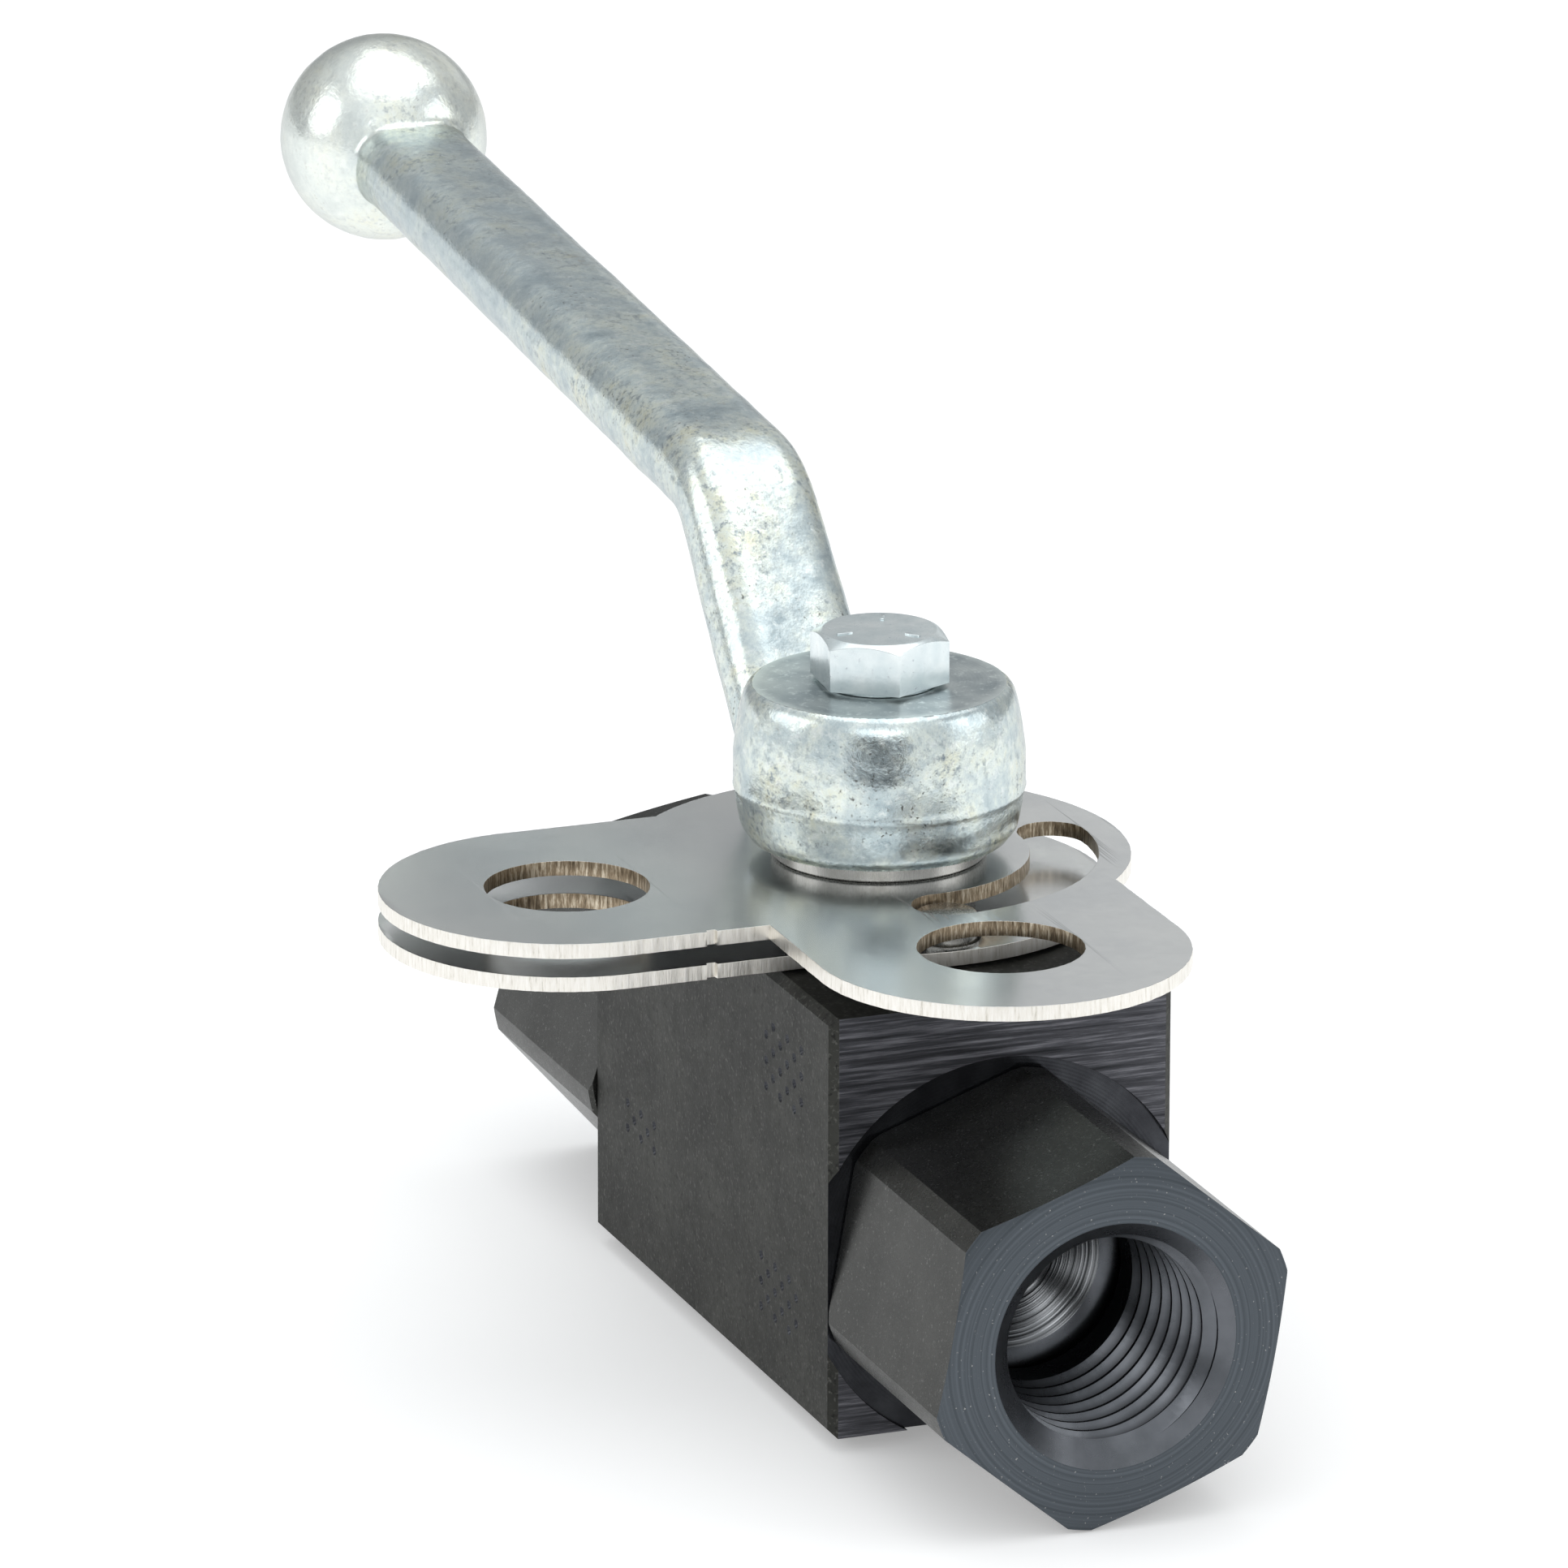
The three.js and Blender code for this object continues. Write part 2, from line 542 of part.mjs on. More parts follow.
function arm() {
  const { rise, tail, root, bend, tip } = armCentreLine();
  const half = ARM_THICKNESS / 2 - ARM_CORNER_RADIUS;
  const riseSide = heading(270 - ARM_SLOPE);
  const tailSide = heading(270 - ARM_TAIL_SLOPE);
  const tangent = ARM_BEND_RADIUS * Math.tan(radians((ARM_SLOPE - ARM_TAIL_SLOPE) / 2));
  const bendStart = along(bend, rise, -tangent);
  const centre = along(bendStart, riseSide, ARM_BEND_RADIUS);
  const from = radians(90 - ARM_SLOPE);
  const to = radians(90 - ARM_TAIL_SLOPE);
  const shape = new THREE.Shape();
  const start = along(root, riseSide, half);
  const end = along(tip, tailSide, half);
  const endTop = along(tip, tailSide, -half);
  const startTop = along(root, riseSide, -half);
  shape.absarc(centre.x, centre.y, ARM_BEND_RADIUS - half, from, to, false);
  shape.lineTo(end.x, end.y);
  shape.lineTo(endTop.x, endTop.y);
  shape.absarc(centre.x, centre.y, ARM_BEND_RADIUS + half, to, from, true);
  shape.lineTo(startTop.x, startTop.y);
  shape.lineTo(start.x, start.y);
  const geometry = new THREE.ExtrudeGeometry(shape, {
    depth: ARM_ROOT_WIDTH - 2 * ARM_CORNER_RADIUS,
    bevelThickness: ARM_CORNER_RADIUS,
    bevelSize: ARM_CORNER_RADIUS,
    bevelSegments: 3,
    curveSegments: 6,
  });
  geometry.rotateX(Math.PI / 2).translate(0, ARM_ROOT_WIDTH / 2 - ARM_CORNER_RADIUS, 0);
  const position = geometry.attributes.position;
  for (let i = 0; i < position.count; i += 1) {
    const width = armWidth(-position.getX(i), -bend.x, -tip.x);
    position.setY(i, (position.getY(i) * width) / ARM_ROOT_WIDTH);
  }
  const below = boxSolid([-ARM_RISE_LENGTH, -ARM_ROOT_WIDTH, 0], [0, ARM_ROOT_WIDTH, hubZ]);
  return solidOf(geometry).subtract(below);
}

function handle() {
  const { tip } = armCentreLine();
  const knob = new THREE.SphereGeometry(KNOB_RADIUS, MEDIUM, SMALL).rotateX(Math.PI / 2);
  const socket = squareHole / 2;
  const socketTop = stemTopZ + GAP;
  return hub()
    .add(arm())
    .add(solidOf(knob.translate(tip.x, 0, tip.y)))
    .subtract(boxSolid([-socket, -socket, hubZ - THROUGH], [socket, socket, socketTop]))
    .subtract(rodZ(boltHoleRadius, socketTop - THROUGH, hubTopZ + THROUGH, SMALL));
}

function handleBolt() {
  const top = boltHeadZ + BOLT_HEAD_HEIGHT;
  const corner = BOLT_HEAD_FLATS / Math.sqrt(3);
  const envelope = [
    [0, boltHeadZ],
    [corner, boltHeadZ],
    [corner, top - BOLT_HEAD_CHAMFER],
    [BOLT_HEAD_TOP_RADIUS, top],
    [0, top],
  ];
  const corners = hexagon(BOLT_HEAD_FLATS, BOLT_HEAD_TURN, [0, 0]);
  const outline = new THREE.Shape(corners.map(([x, y]) => new THREE.Vector2(x, y)));
  return plate(outline, boltHeadZ, top)
    .intersect(turnedAboutZ(envelope, MEDIUM))
    .add(rodZ(BOLT_RADIUS, boltHeadZ - BOLT_LENGTH, boltHeadZ + THROUGH, SMALL));
}

// ---------- Materials and assembly ----------

function metal(color, roughness, metalness = 0.9) {
  return new THREE.MeshStandardMaterial({ color, roughness, metalness });
}

const finishes = {
  phosphated: metal(0x3d4447, 0.55),
  zincPlated: metal(0x9ba5a9, 0.35),
  stainless: metal(0xb6b8b4, 0.25),
  forgedZinc: metal(0xbfc5c0, 0.4),
  chromed: metal(0xd4d8dc, 0.1),
  plastic: metal(0xf1efe8, 0.6, 0),
  rubber: metal(0x161616, 0.8, 0),
};

const valve = new THREE.Group();

function addPiece(name, solid, finish) {
  const mesh = new THREE.Mesh(geometryOf(solid), finish);
  mesh.name = name;
  valve.add(mesh);
  return mesh;
}

// A piece of the rear end is its front twin turned half round about the stem axis.
function addRearPiece(name, solid, finish) {
  addPiece(name, solid, finish).rotation.z = Math.PI;
}

addPiece("valve_block", valveBlock(), finishes.phosphated);
addPiece("front_adapter", adapter(FRONT_HEX_TURN), finishes.zincPlated);
addRearPiece("rear_adapter", adapter(-REAR_HEX_TURN), finishes.zincPlated);
addPiece("front_adapter_o_ring", adapterSeal(), finishes.rubber);
addRearPiece("rear_adapter_o_ring", adapterSeal(), finishes.rubber);
addPiece("front_ball_seat", ballSeat(), finishes.plastic);
addRearPiece("rear_ball_seat", ballSeat(), finishes.plastic);
addPiece("front_seat_o_ring", seatSeal(), finishes.rubber);
addRearPiece("rear_seat_o_ring", seatSeal(), finishes.rubber);
addPiece("ball", ball(), finishes.chromed);
addPiece("stem", stem(), finishes.stainless);
addPiece("stem_thrust_washer", stemThrustWasher(), finishes.plastic);
addPiece("stem_o_ring_lower", stemSeal(lowerSealZ), finishes.rubber);
addPiece("stem_o_ring_upper", stemSeal(upperSealZ), finishes.rubber);
addPiece("stem_backup_ring", stemBackupRing(), finishes.plastic);
addPiece("lower_lock_plate", lowerLockPlate(), finishes.stainless);
addPiece("plate_spacer", plateSpacer(), finishes.stainless);
addPiece("stop_pin", stopPin(), finishes.stainless);
addPiece("upper_lock_plate", upperLockPlate(), finishes.stainless);
addPiece("hub_washer", hubWasher(), finishes.stainless);
addPiece("handle", handle(), finishes.forgedZinc);
addPiece("handle_bolt", handleBolt(), finishes.forgedZinc);

export default valve;
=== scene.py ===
"""The looks of a block ball valve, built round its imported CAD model.

Sizes are millimetres in the CAD frame, +X along the flow axis and +Z up the stem, except in the
studio, which is in metres. Each CAD piece that can be seen is replaced by a finely modelled one. The
inner pieces keep their CAD meshes and get materials.
"""

import math
import random

import bmesh
import bpy
import numpy as np
from mathutils import Matrix, Vector, noise


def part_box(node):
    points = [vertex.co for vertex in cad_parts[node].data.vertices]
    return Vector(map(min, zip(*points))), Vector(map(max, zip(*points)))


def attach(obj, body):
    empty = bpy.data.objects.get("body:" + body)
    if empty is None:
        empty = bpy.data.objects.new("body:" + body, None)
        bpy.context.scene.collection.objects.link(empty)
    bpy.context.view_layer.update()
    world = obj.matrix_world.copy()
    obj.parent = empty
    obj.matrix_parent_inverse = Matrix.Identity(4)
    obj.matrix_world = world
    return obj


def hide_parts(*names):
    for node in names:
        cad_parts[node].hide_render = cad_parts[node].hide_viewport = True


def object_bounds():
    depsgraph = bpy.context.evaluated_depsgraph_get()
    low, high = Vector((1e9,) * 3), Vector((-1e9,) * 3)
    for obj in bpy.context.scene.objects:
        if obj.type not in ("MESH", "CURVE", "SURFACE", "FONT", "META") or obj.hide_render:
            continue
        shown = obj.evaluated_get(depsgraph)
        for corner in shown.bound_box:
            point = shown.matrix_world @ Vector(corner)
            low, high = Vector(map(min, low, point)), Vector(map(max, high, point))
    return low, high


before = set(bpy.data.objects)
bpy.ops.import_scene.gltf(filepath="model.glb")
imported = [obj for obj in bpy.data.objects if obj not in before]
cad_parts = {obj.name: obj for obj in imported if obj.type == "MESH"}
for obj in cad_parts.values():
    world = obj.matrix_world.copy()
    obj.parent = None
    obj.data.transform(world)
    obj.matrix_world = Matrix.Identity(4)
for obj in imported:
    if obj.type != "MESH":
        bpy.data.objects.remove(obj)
CAD_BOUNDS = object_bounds()
MM = 0.001


def cad(node):
    """The lowest and highest corners of a CAD node, in millimetres."""
    low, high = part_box(node)
    return low / MM, high / MM


# --- Sizes ---

BLOCK_LOW, BLOCK_HIGH = cad("valve_block")
ADAPTER_END = cad("front_adapter")[1].x
UPPER_PLATE = cad("upper_lock_plate")
LOWER_PLATE = cad("lower_lock_plate")
BOLT_TOP = cad("handle_bolt")[1].z
PIN = cad("stop_pin")
WASHER = cad("hub_washer")
SPACER = cad("plate_spacer")

GAP = 0.3  # clearance between fitted or turning pieces
TOUCH = 0.04  # clearance where a wider one would show as a black line
MERGE = 0.003  # boolean slivers shorter than this are merged
CUT_PAST = 2.0  # how far a cutting tool reaches past a face

PORT_Z = (cad("front_adapter_o_ring")[0].z + cad("front_adapter_o_ring")[1].z) / 2
FLOW_AXIS = (0, 0, PORT_Z)
BLOCK_CHAMFER = 0.8
BLOCK_ROUNDING = 0.12
RECESS_RADIUS = 19.5
RECESS_DEPTH = 0.8
BORE_RADIUS = 13.5
STEM_HOLE_RADIUS = 5.8
PEEN_PATCHES = ((15.5, 30.2, 6, 6), (-23.4, 13.6, 5, 3), (14.2, 7.4, 6, 5))  # x, z, columns, rows
PEEN_PITCH = (1.9, 1.3)
PEEN_RADIUS = 0.5
PEEN_DEPTH = 0.6
PEEN_SIDES = 14

SPIGOT_RADIUS = 13.2
SPIGOT_END = cad("front_adapter")[0].x
HEX_FLATS = 33.0
HEX_CORNER_RADIUS = 18.4
HEX_FACE_RADIUS = 15.8
HEX_FACE_CHAMFER = 0.8
HEX_ROUNDING = 0.22
SEAL_GROOVE_DEPTH = 2.1
FRONT_HEX_TURN = 10.0
REAR_HEX_TURN = -18.5
THREAD_CREST_RADIUS = 9.8
THREAD_ROOT_RADIUS = 10.9
THREAD_PITCH = 2.5
THREAD_LENGTH = 21.5
PORT_MOUTH_RADIUS = 12.15
PORT_DEPTH = 26.0
PORT_FLOOR_RADIUS = 8.8
UNDERCUT_RADIUS = 11.0
UNDERCUT_LENGTH = 3.0
CONE_ANGLE = 118.0
FLOW_RADIUS = 4.5
SEAT_POCKET_RADIUS = 8.7
SEAT_POCKET_END = cad("front_seat_o_ring")[1].x + GAP

EAR_RADIUS = 18.2
EAR_REACH = 32.2
UPPER_DISC_RADIUS = 24.5
LOWER_DISC_RADIUS = 22.5
PADLOCK_RADIUS = 8.0
PIN_REACH = 18.0
PIN_RADIUS = 3.0
SLOT_HALF = 3.35
NOTCH_REACH = 24.0
NOTCH_WIDTH = 1.1
NOTCH_DEPTH = 0.5
SQUARE_HOLE = 9.6
PLATE_BURR = 0.07  # rounding of a plate's edges
PLATE_RAGGED = 0.03  # unevenness of a laser-cut outline
PLATE_SEED = 7
HOLE_MARGIN = 1.0
SLOT_MARGIN = 0.6

HUB_TOP_RADIUS = 13.0
HUB_BELT_RADIUS = 14.2
HUB_BASE_RADIUS = 12.5
HUB_LOW = cad("handle")[0].z
BOLT_HEAD_HEIGHT = 5.0
HUB_TOP = BOLT_TOP - BOLT_HEAD_HEIGHT - GAP
HUB_SPARE = 2.0  # forged below the hub's lower face and machined off
HUB_CROWN = 0.25  # forged above its upper face and machined off
ARM_SLOPE = math.radians(47.0)
ARM_TAIL_SLOPE = math.radians(4.8)
ARM_RISE = 37.85
ARM_TAIL = 109.0
ARM_ROOT = Vector((-HUB_BASE_RADIUS, HUB_LOW - 2.5))
ARM_BEND_RADIUS = 10.0
ARM_THICKNESS = 8.8
ARM_CORNER = 3.9
ARM_WIDTHS = (15.0, 13.5, 12.5)  # at the hub, at the bend and at the knob
KNOB_RADIUS = 11.0
VOXEL = 0.35
SMOOTHINGS = 18
SKIN = ((5.0, 0.07), (1.3, 0.025))  # size and height of the forging's uneven skin
FLASH = (5.2, 0.35, 0.13)  # the hub's flash line: height above its base, half width, relief
SEAM = (0.4, 0.12)  # the arm's flash line: half width, relief

BOLT_FLATS = 12.0
BOLT_HEAD_LOW = HUB_TOP + TOUCH
BOLT_TURN = -25.0
BOLT_FACE_RADIUS = 5.6
BOLT_RADIUS = 3.0
BOLT_ROUNDING = 0.09
TICK = (3.0, 4.6, 0.22, 0.14)  # from, to, half width and relief of the head's radial marks
TICK_TURN = 35.0


# --- Node materials ---


def map_range(tree, value, source=(0, 1), target=(0, 1)):
    """value mapped from the source range to the target range, and cut off outside."""
    node = tree.nodes.new("ShaderNodeMapRange")
    for name, number in zip(("From Min", "From Max", "To Min", "To Max"), (*source, *target)):
        node.inputs[name].default_value = number
    tree.links.new(value, node.inputs["Value"])
    return node.outputs["Result"]


class Paint:
    """A Principled material whose inputs can be driven by noise in the object's own coordinates.
    The colour and roughness given first hold until color or rough links nodes to them."""

    def __init__(self, name, color, metallic, roughness, edge=1.0):
        self.material = bpy.data.materials.new(name)
        self.material.use_nodes = True
        self.tree = self.material.node_tree
        self.nodes = self.tree.nodes
        self.links = self.tree.links
        self.shader = self.nodes["Principled BSDF"]
        self.shader.inputs["Base Color"].default_value = (*color, 1)
        self.shader.inputs["Metallic"].default_value = metallic
        self.shader.inputs["Roughness"].default_value = roughness
        self.shader.inputs["Specular Tint"].default_value = (edge, edge, edge, 1)
        self.place = self.nodes.new("ShaderNodeTexCoord").outputs["Object"]
        self.height = None

    def stretched(self, scale):
        """The object's coordinates, scaled by a different amount along each axis."""
        mapping = self.nodes.new("ShaderNodeMapping")
        mapping.inputs["Scale"].default_value = scale
        self.links.new(self.place, mapping.inputs["Vector"])
        return mapping.outputs["Vector"]

    def noise(self, size, detail=4, roughness=0.55, scale=(1, 1, 1), distortion=0.0):
        """Noise whose blobs are about size millimetres across, between 0 and 1."""
        node = self.nodes.new("ShaderNodeTexNoise")
        node.inputs["Scale"].default_value = 1 / (size * MM)
        node.inputs["Detail"].default_value = detail
        node.inputs["Roughness"].default_value = roughness
        node.inputs["Distortion"].default_value = distortion
        self.links.new(self.stretched(scale), node.inputs["Vector"])
        return node.outputs["Fac"]

    def band(self, value, low, high):
        """value mapped from low..high to 0..1, and cut off outside."""
        return map_range(self.tree, value, (low, high))

    def math(self, operation, first, second=0):
        node = self.nodes.new("ShaderNodeMath")
        node.operation = operation
        for socket, value in zip(node.inputs, (first, second)):
            if isinstance(value, (int, float)):
                socket.default_value = value
            else:
                self.links.new(value, socket)
        return node.outputs[0]

    def axes(self):
        """The object's x, y and z."""
        split = self.nodes.new("ShaderNodeSeparateXYZ")
        self.links.new(self.place, split.inputs[0])
        return split.outputs

    def distance(self, first, second):
        """How far the point (first, second) is from zero, in millimetres."""
        squares = [self.math("MULTIPLY", side, side) for side in (first, second)]
        return self.math("DIVIDE", self.math("SQRT", self.math("ADD", *squares)), MM)

    def from_stem(self):
        """Distance from the stem axis, in millimetres."""
        x, y, _ = self.axes()
        return self.distance(x, y)

    def from_flow(self):
        """Distance from the flow axis, in millimetres."""
        _, y, z = self.axes()
        return self.distance(y, self.math("SUBTRACT", z, PORT_Z * MM))

    def along_flow(self):
        """The place along the flow axis, in millimetres."""
        return self.math("DIVIDE", self.axes()[0], MM)

    def turning(self, radius, size):
        """Uneven turned rings about size millimetres apart, between 0 and 1."""
        node = self.nodes.new("ShaderNodeTexNoise")
        node.noise_dimensions = "1D"
        node.inputs["Scale"].default_value = 1 / size
        node.inputs["Detail"].default_value = 3
        self.links.new(radius, node.inputs["W"])
        return node.outputs["Fac"]

    def rings(self, radius, pitch):
        """Concentric tool marks, between 0 and 1."""
        turns = self.math("MULTIPLY", radius, 2 * math.pi / pitch)
        return self.math("MULTIPLY_ADD", self.math("SINE", turns), 0.5)

    def color(self, fac, *stops):
        """Base colour from a ramp of (position, colour) stops."""
        ramp = self.nodes.new("ShaderNodeValToRGB")
        elements = ramp.color_ramp.elements
        while len(elements) < len(stops):
            elements.new(0.5)
        for element, (position, color) in zip(elements, stops):
            element.position = position
            element.color = (*color, 1)
        self.links.new(fac, ramp.inputs["Fac"])
        self.paint(ramp.outputs["Color"])

    def paint(self, output):
        self.links.new(output, self.shader.inputs["Base Color"])
        self.painted = output

    def over(self, fac, color):
        """Paints color over what is there, as strongly as fac says."""
        mix = self.nodes.new("ShaderNodeMix")
        mix.data_type = "RGBA"
        self.links.new(fac, mix.inputs["Factor"])
        self.links.new(self.painted, mix.inputs["A"])
        mix.inputs["B"].default_value = (*color, 1)
        self.paint(mix.outputs["Result"])

    def over_both(self, first, second, color):
        """Paints color over what is there where both masks are strong; the second may be a number."""
        self.over(self.math("MULTIPLY", first, second), color)

    def rough(self, fac, low, high):
        self.links.new(map_range(self.tree, fac, target=(low, high)), self.shader.inputs["Roughness"])

    def bump(self, height, depth, strength):
        """Adds relief: height between 0 and 1, depth in millimetres."""
        node = self.nodes.new("ShaderNodeBump")
        node.inputs["Distance"].default_value = depth * MM
        node.inputs["Strength"].default_value = strength
        self.links.new(height, node.inputs["Height"])
        if self.height:
            self.links.new(self.height, node.inputs["Normal"])
        self.height = node.outputs["Normal"]
        self.links.new(self.height, self.shader.inputs["Normal"])


def dark_steel():
    """Phosphated steel of the block's sides: matte, greenish grey, finely specked."""
    paint = Paint("dark_steel", (0.1, 0.1, 0.095), 0.3, 0.5, edge=0.6)
    paint.shader.inputs["Specular IOR Level"].default_value = 0.3
    cloud = paint.noise(9, detail=6)
    paint.color(cloud, (0.3, (0.014, 0.0142, 0.0125)), (0.7, (0.038, 0.0385, 0.034)))
    paint.over(paint.band(paint.noise(0.4, detail=2), 0.56, 0.72), (0.075, 0.075, 0.068))
    paint.over(paint.band(paint.noise(0.7, detail=2), 0.42, 0.32), (0.012, 0.012, 0.011))
    paint.rough(paint.noise(1.2), 0.42, 0.6)
    paint.bump(paint.noise(0.4, detail=3), 0.04, 0.6)
    return paint.material


def milled_steel():
    """The block's end faces: blue-black, with nearly level milling streaks."""
    paint = Paint("milled_steel", (0.07, 0.072, 0.08), 0.8, 0.35)
    streak = paint.noise(0.55, detail=7, roughness=0.7, scale=(1, 0.035, 1))
    dark, middle, bright = (0.018, 0.019, 0.022), (0.072, 0.073, 0.083), (0.24, 0.24, 0.265)
    paint.color(streak, (0.34, dark), (0.5, middle), (0.66, bright))
    paint.rough(streak, 0.28, 0.5)
    paint.bump(streak, 0.05, 0.6)
    return paint.material


def recess_steel():
    """The turned floor of the round recess: dark and glossy."""
    paint = Paint("recess_steel", (0.04, 0.042, 0.048), 0.9, 0.22)
    rings = paint.rings(paint.from_flow(), 0.35)
    paint.color(paint.noise(3), (0.3, (0.03, 0.031, 0.036)), (0.7, (0.06, 0.063, 0.07)))
    paint.bump(rings, 0.004, 0.5)
    return paint.material


def adapter_steel():
    """Satin grey plated steel of the hexagons."""
    paint = Paint("adapter_steel", (0.16, 0.165, 0.165), 0.85, 0.34, edge=0.8)
    cloud = paint.noise(7, detail=6)
    paint.color(cloud, (0.3, (0.034, 0.0345, 0.032)), (0.7, (0.056, 0.0565, 0.053)))
    paint.over(paint.band(paint.noise(0.3, detail=2), 0.62, 0.74), (0.15, 0.15, 0.145))
    paint.rough(paint.noise(0.8), 0.2, 0.36)
    paint.bump(paint.noise(0.22, detail=3, scale=(0.35, 1, 1)), 0.012, 0.5)
    return paint.material


def adapter_face_steel():
    """The hexagon's turned end face: blue-grey, with concentric tool marks."""
    paint = Paint("adapter_face_steel", (0.15, 0.17, 0.19), 0.85, 0.36)
    radius = paint.from_flow()
    fine = paint.turning(radius, 0.3)
    paint.color(fine, (0.3, (0.06, 0.07, 0.08)), (0.7, (0.092, 0.105, 0.12)))
    paint.over(paint.band(paint.noise(0.35, detail=2), 0.68, 0.76), (0.3, 0.3, 0.3))
    paint.rough(paint.noise(0.7), 0.3, 0.44)
    paint.bump(fine, 0.006, 0.6)
    return paint.material


def thread_steel():
    """Turned steel inside the ports, with painted shade in the thread's grooves."""
    paint = Paint("thread_steel", (0.1, 0.105, 0.11), 0.95, 0.24)
    paint.color(paint.noise(5), (0.3, (0.095, 0.102, 0.112)), (0.7, (0.15, 0.158, 0.175)))
    # Painted shade: deeper in than the countersink, the thread's grooves are painted nearly black.
    groove = paint.band(paint.from_flow(), THREAD_CREST_RADIUS + 0.3, THREAD_ROOT_RADIUS - 0.1)
    depth = paint.math("ABSOLUTE", paint.along_flow())
    past_countersink = paint.band(depth, ADAPTER_END - 2.2, ADAPTER_END - 3.0)
    paint.over_both(groove, past_countersink, (0.015, 0.015, 0.016))
    paint.rough(paint.noise(3), 0.22, 0.34)
    return paint.material


def cone_steel():
    """The bright turned cone at the bottom of a port."""
    paint = Paint("cone_steel", (0.4, 0.41, 0.42), 1.0, 0.22)
    radius = paint.from_flow()
    rings = paint.turning(radius, 0.3)
    paint.color(rings, (0.3, (0.055, 0.058, 0.061)), (0.68, (0.32, 0.33, 0.345)))
    paint.bump(rings, 0.04, 0.8)
    return paint.material


def sheet_steel():
    """The satin rolled face of the plates."""
    paint = Paint("sheet_steel", (0.6, 0.61, 0.61), 1.0, 0.2)
    cloud = paint.noise(14, detail=5)
    paint.color(cloud, (0.3, (0.56, 0.575, 0.58)), (0.7, (0.66, 0.665, 0.655)))
    grain = paint.noise(0.35, detail=4, scale=(0.12, 1, 1))
    paint.rough(paint.noise(1.5, detail=5), 0.16, 0.27)
    paint.bump(grain, 0.004, 0.5)
    paint.bump(paint.noise(18, detail=1), 0.05, 0.6)
    return paint.material


def cut_steel():
    """A laser-cut sheet edge: bright, with upright striations."""
    paint = Paint("cut_steel", (0.6, 0.59, 0.56), 1.0, 0.36)
    lines = paint.noise(0.28, detail=4, roughness=0.7, scale=(1, 1, 0.12))
    paint.color(lines, (0.25, (0.5, 0.47, 0.41)), (0.42, (0.8, 0.77, 0.71)), (0.7, (0.92, 0.9, 0.86)))
    paint.rough(lines, 0.28, 0.45)
    paint.bump(lines, 0.03, 0.8)
    return paint.material


def scorched_steel():
    """The cut walls of slots and holes, browned by the laser."""
    paint = Paint("scorched_steel", (0.3, 0.24, 0.16), 0.9, 0.42)
    lines = paint.noise(0.3, detail=4, roughness=0.7, scale=(1, 1, 0.15))
    burnt, brown, bare = (0.09, 0.068, 0.045), (0.3, 0.235, 0.16), (0.8, 0.72, 0.58)
    paint.color(lines, (0.3, burnt), (0.5, brown), (0.72, bare))
    paint.rough(lines, 0.3, 0.5)
    paint.bump(lines, 0.04, 0.8)
    return paint.material


def ground_steel():
    """Turned steel of pins, washers and the stem."""
    paint = Paint("ground_steel", (0.5, 0.49, 0.46), 1.0, 0.26)
    grain = paint.noise(0.25, detail=4, scale=(1, 1, 0.1))
    paint.color(paint.noise(2.5), (0.3, (0.4, 0.39, 0.36)), (0.7, (0.56, 0.55, 0.53)))
    paint.rough(grain, 0.2, 0.34)
    paint.bump(grain, 0.008, 0.6)
    return paint.material


def forged_zinc():
    """Bright zinc plate on a forging: pale, with blue and yellow-green patches and dark specks."""
    paint = Paint("forged_zinc", (0.7, 0.75, 0.74), 0.94, 0.36, edge=0.72)
    cloud = paint.noise(7, detail=9, roughness=0.72, distortion=0.15)
    paint.color(
        cloud,
        (0.32, (0.38, 0.46, 0.49)),
        (0.44, (0.57, 0.65, 0.66)),
        (0.54, (0.74, 0.8, 0.75)),
        (0.68, (0.75, 0.75, 0.58)),
    )
    fleck = paint.band(paint.noise(0.8, detail=6, roughness=0.7), 0.5, 0.66)
    paint.over_both(fleck, paint.band(paint.noise(7, detail=4), 0.4, 0.62), (0.24, 0.29, 0.33))
    pale = paint.band(paint.noise(1.3, detail=6, roughness=0.7), 0.54, 0.68)
    paint.over_both(pale, 0.6, (0.86, 0.9, 0.88))
    dirt = paint.band(paint.noise(0.45, detail=4, roughness=0.65), 0.6, 0.68)
    paint.over_both(dirt, paint.band(paint.noise(10), 0.45, 0.62), (0.12, 0.12, 0.11))
    rust = paint.band(paint.noise(1.4, detail=5, roughness=0.7), 0.58, 0.72)
    paint.over_both(rust, paint.band(paint.noise(13), 0.54, 0.7), (0.4, 0.33, 0.22))
    along = paint.along_flow()
    outer_arm = paint.math("MULTIPLY", paint.band(along, -70, -95), paint.band(along, -140, -130))
    paint.over_both(outer_arm, 0.4, (0.52, 0.59, 0.62))
    # Painted highlight: the knob is painted paler, standing in for the bright surroundings it reflects.
    knob = paint.band(along, -134, -140)
    paint.over_both(knob, 0.6, (0.9, 0.92, 0.86))
    paint.rough(paint.noise(1.1, detail=6, roughness=0.65), 0.1, 0.36)
    paint.bump(paint.noise(0.45, detail=5), 0.05, 0.6)
    paint.bump(paint.noise(2.4, detail=3), 0.08, 0.5)
    return paint.material


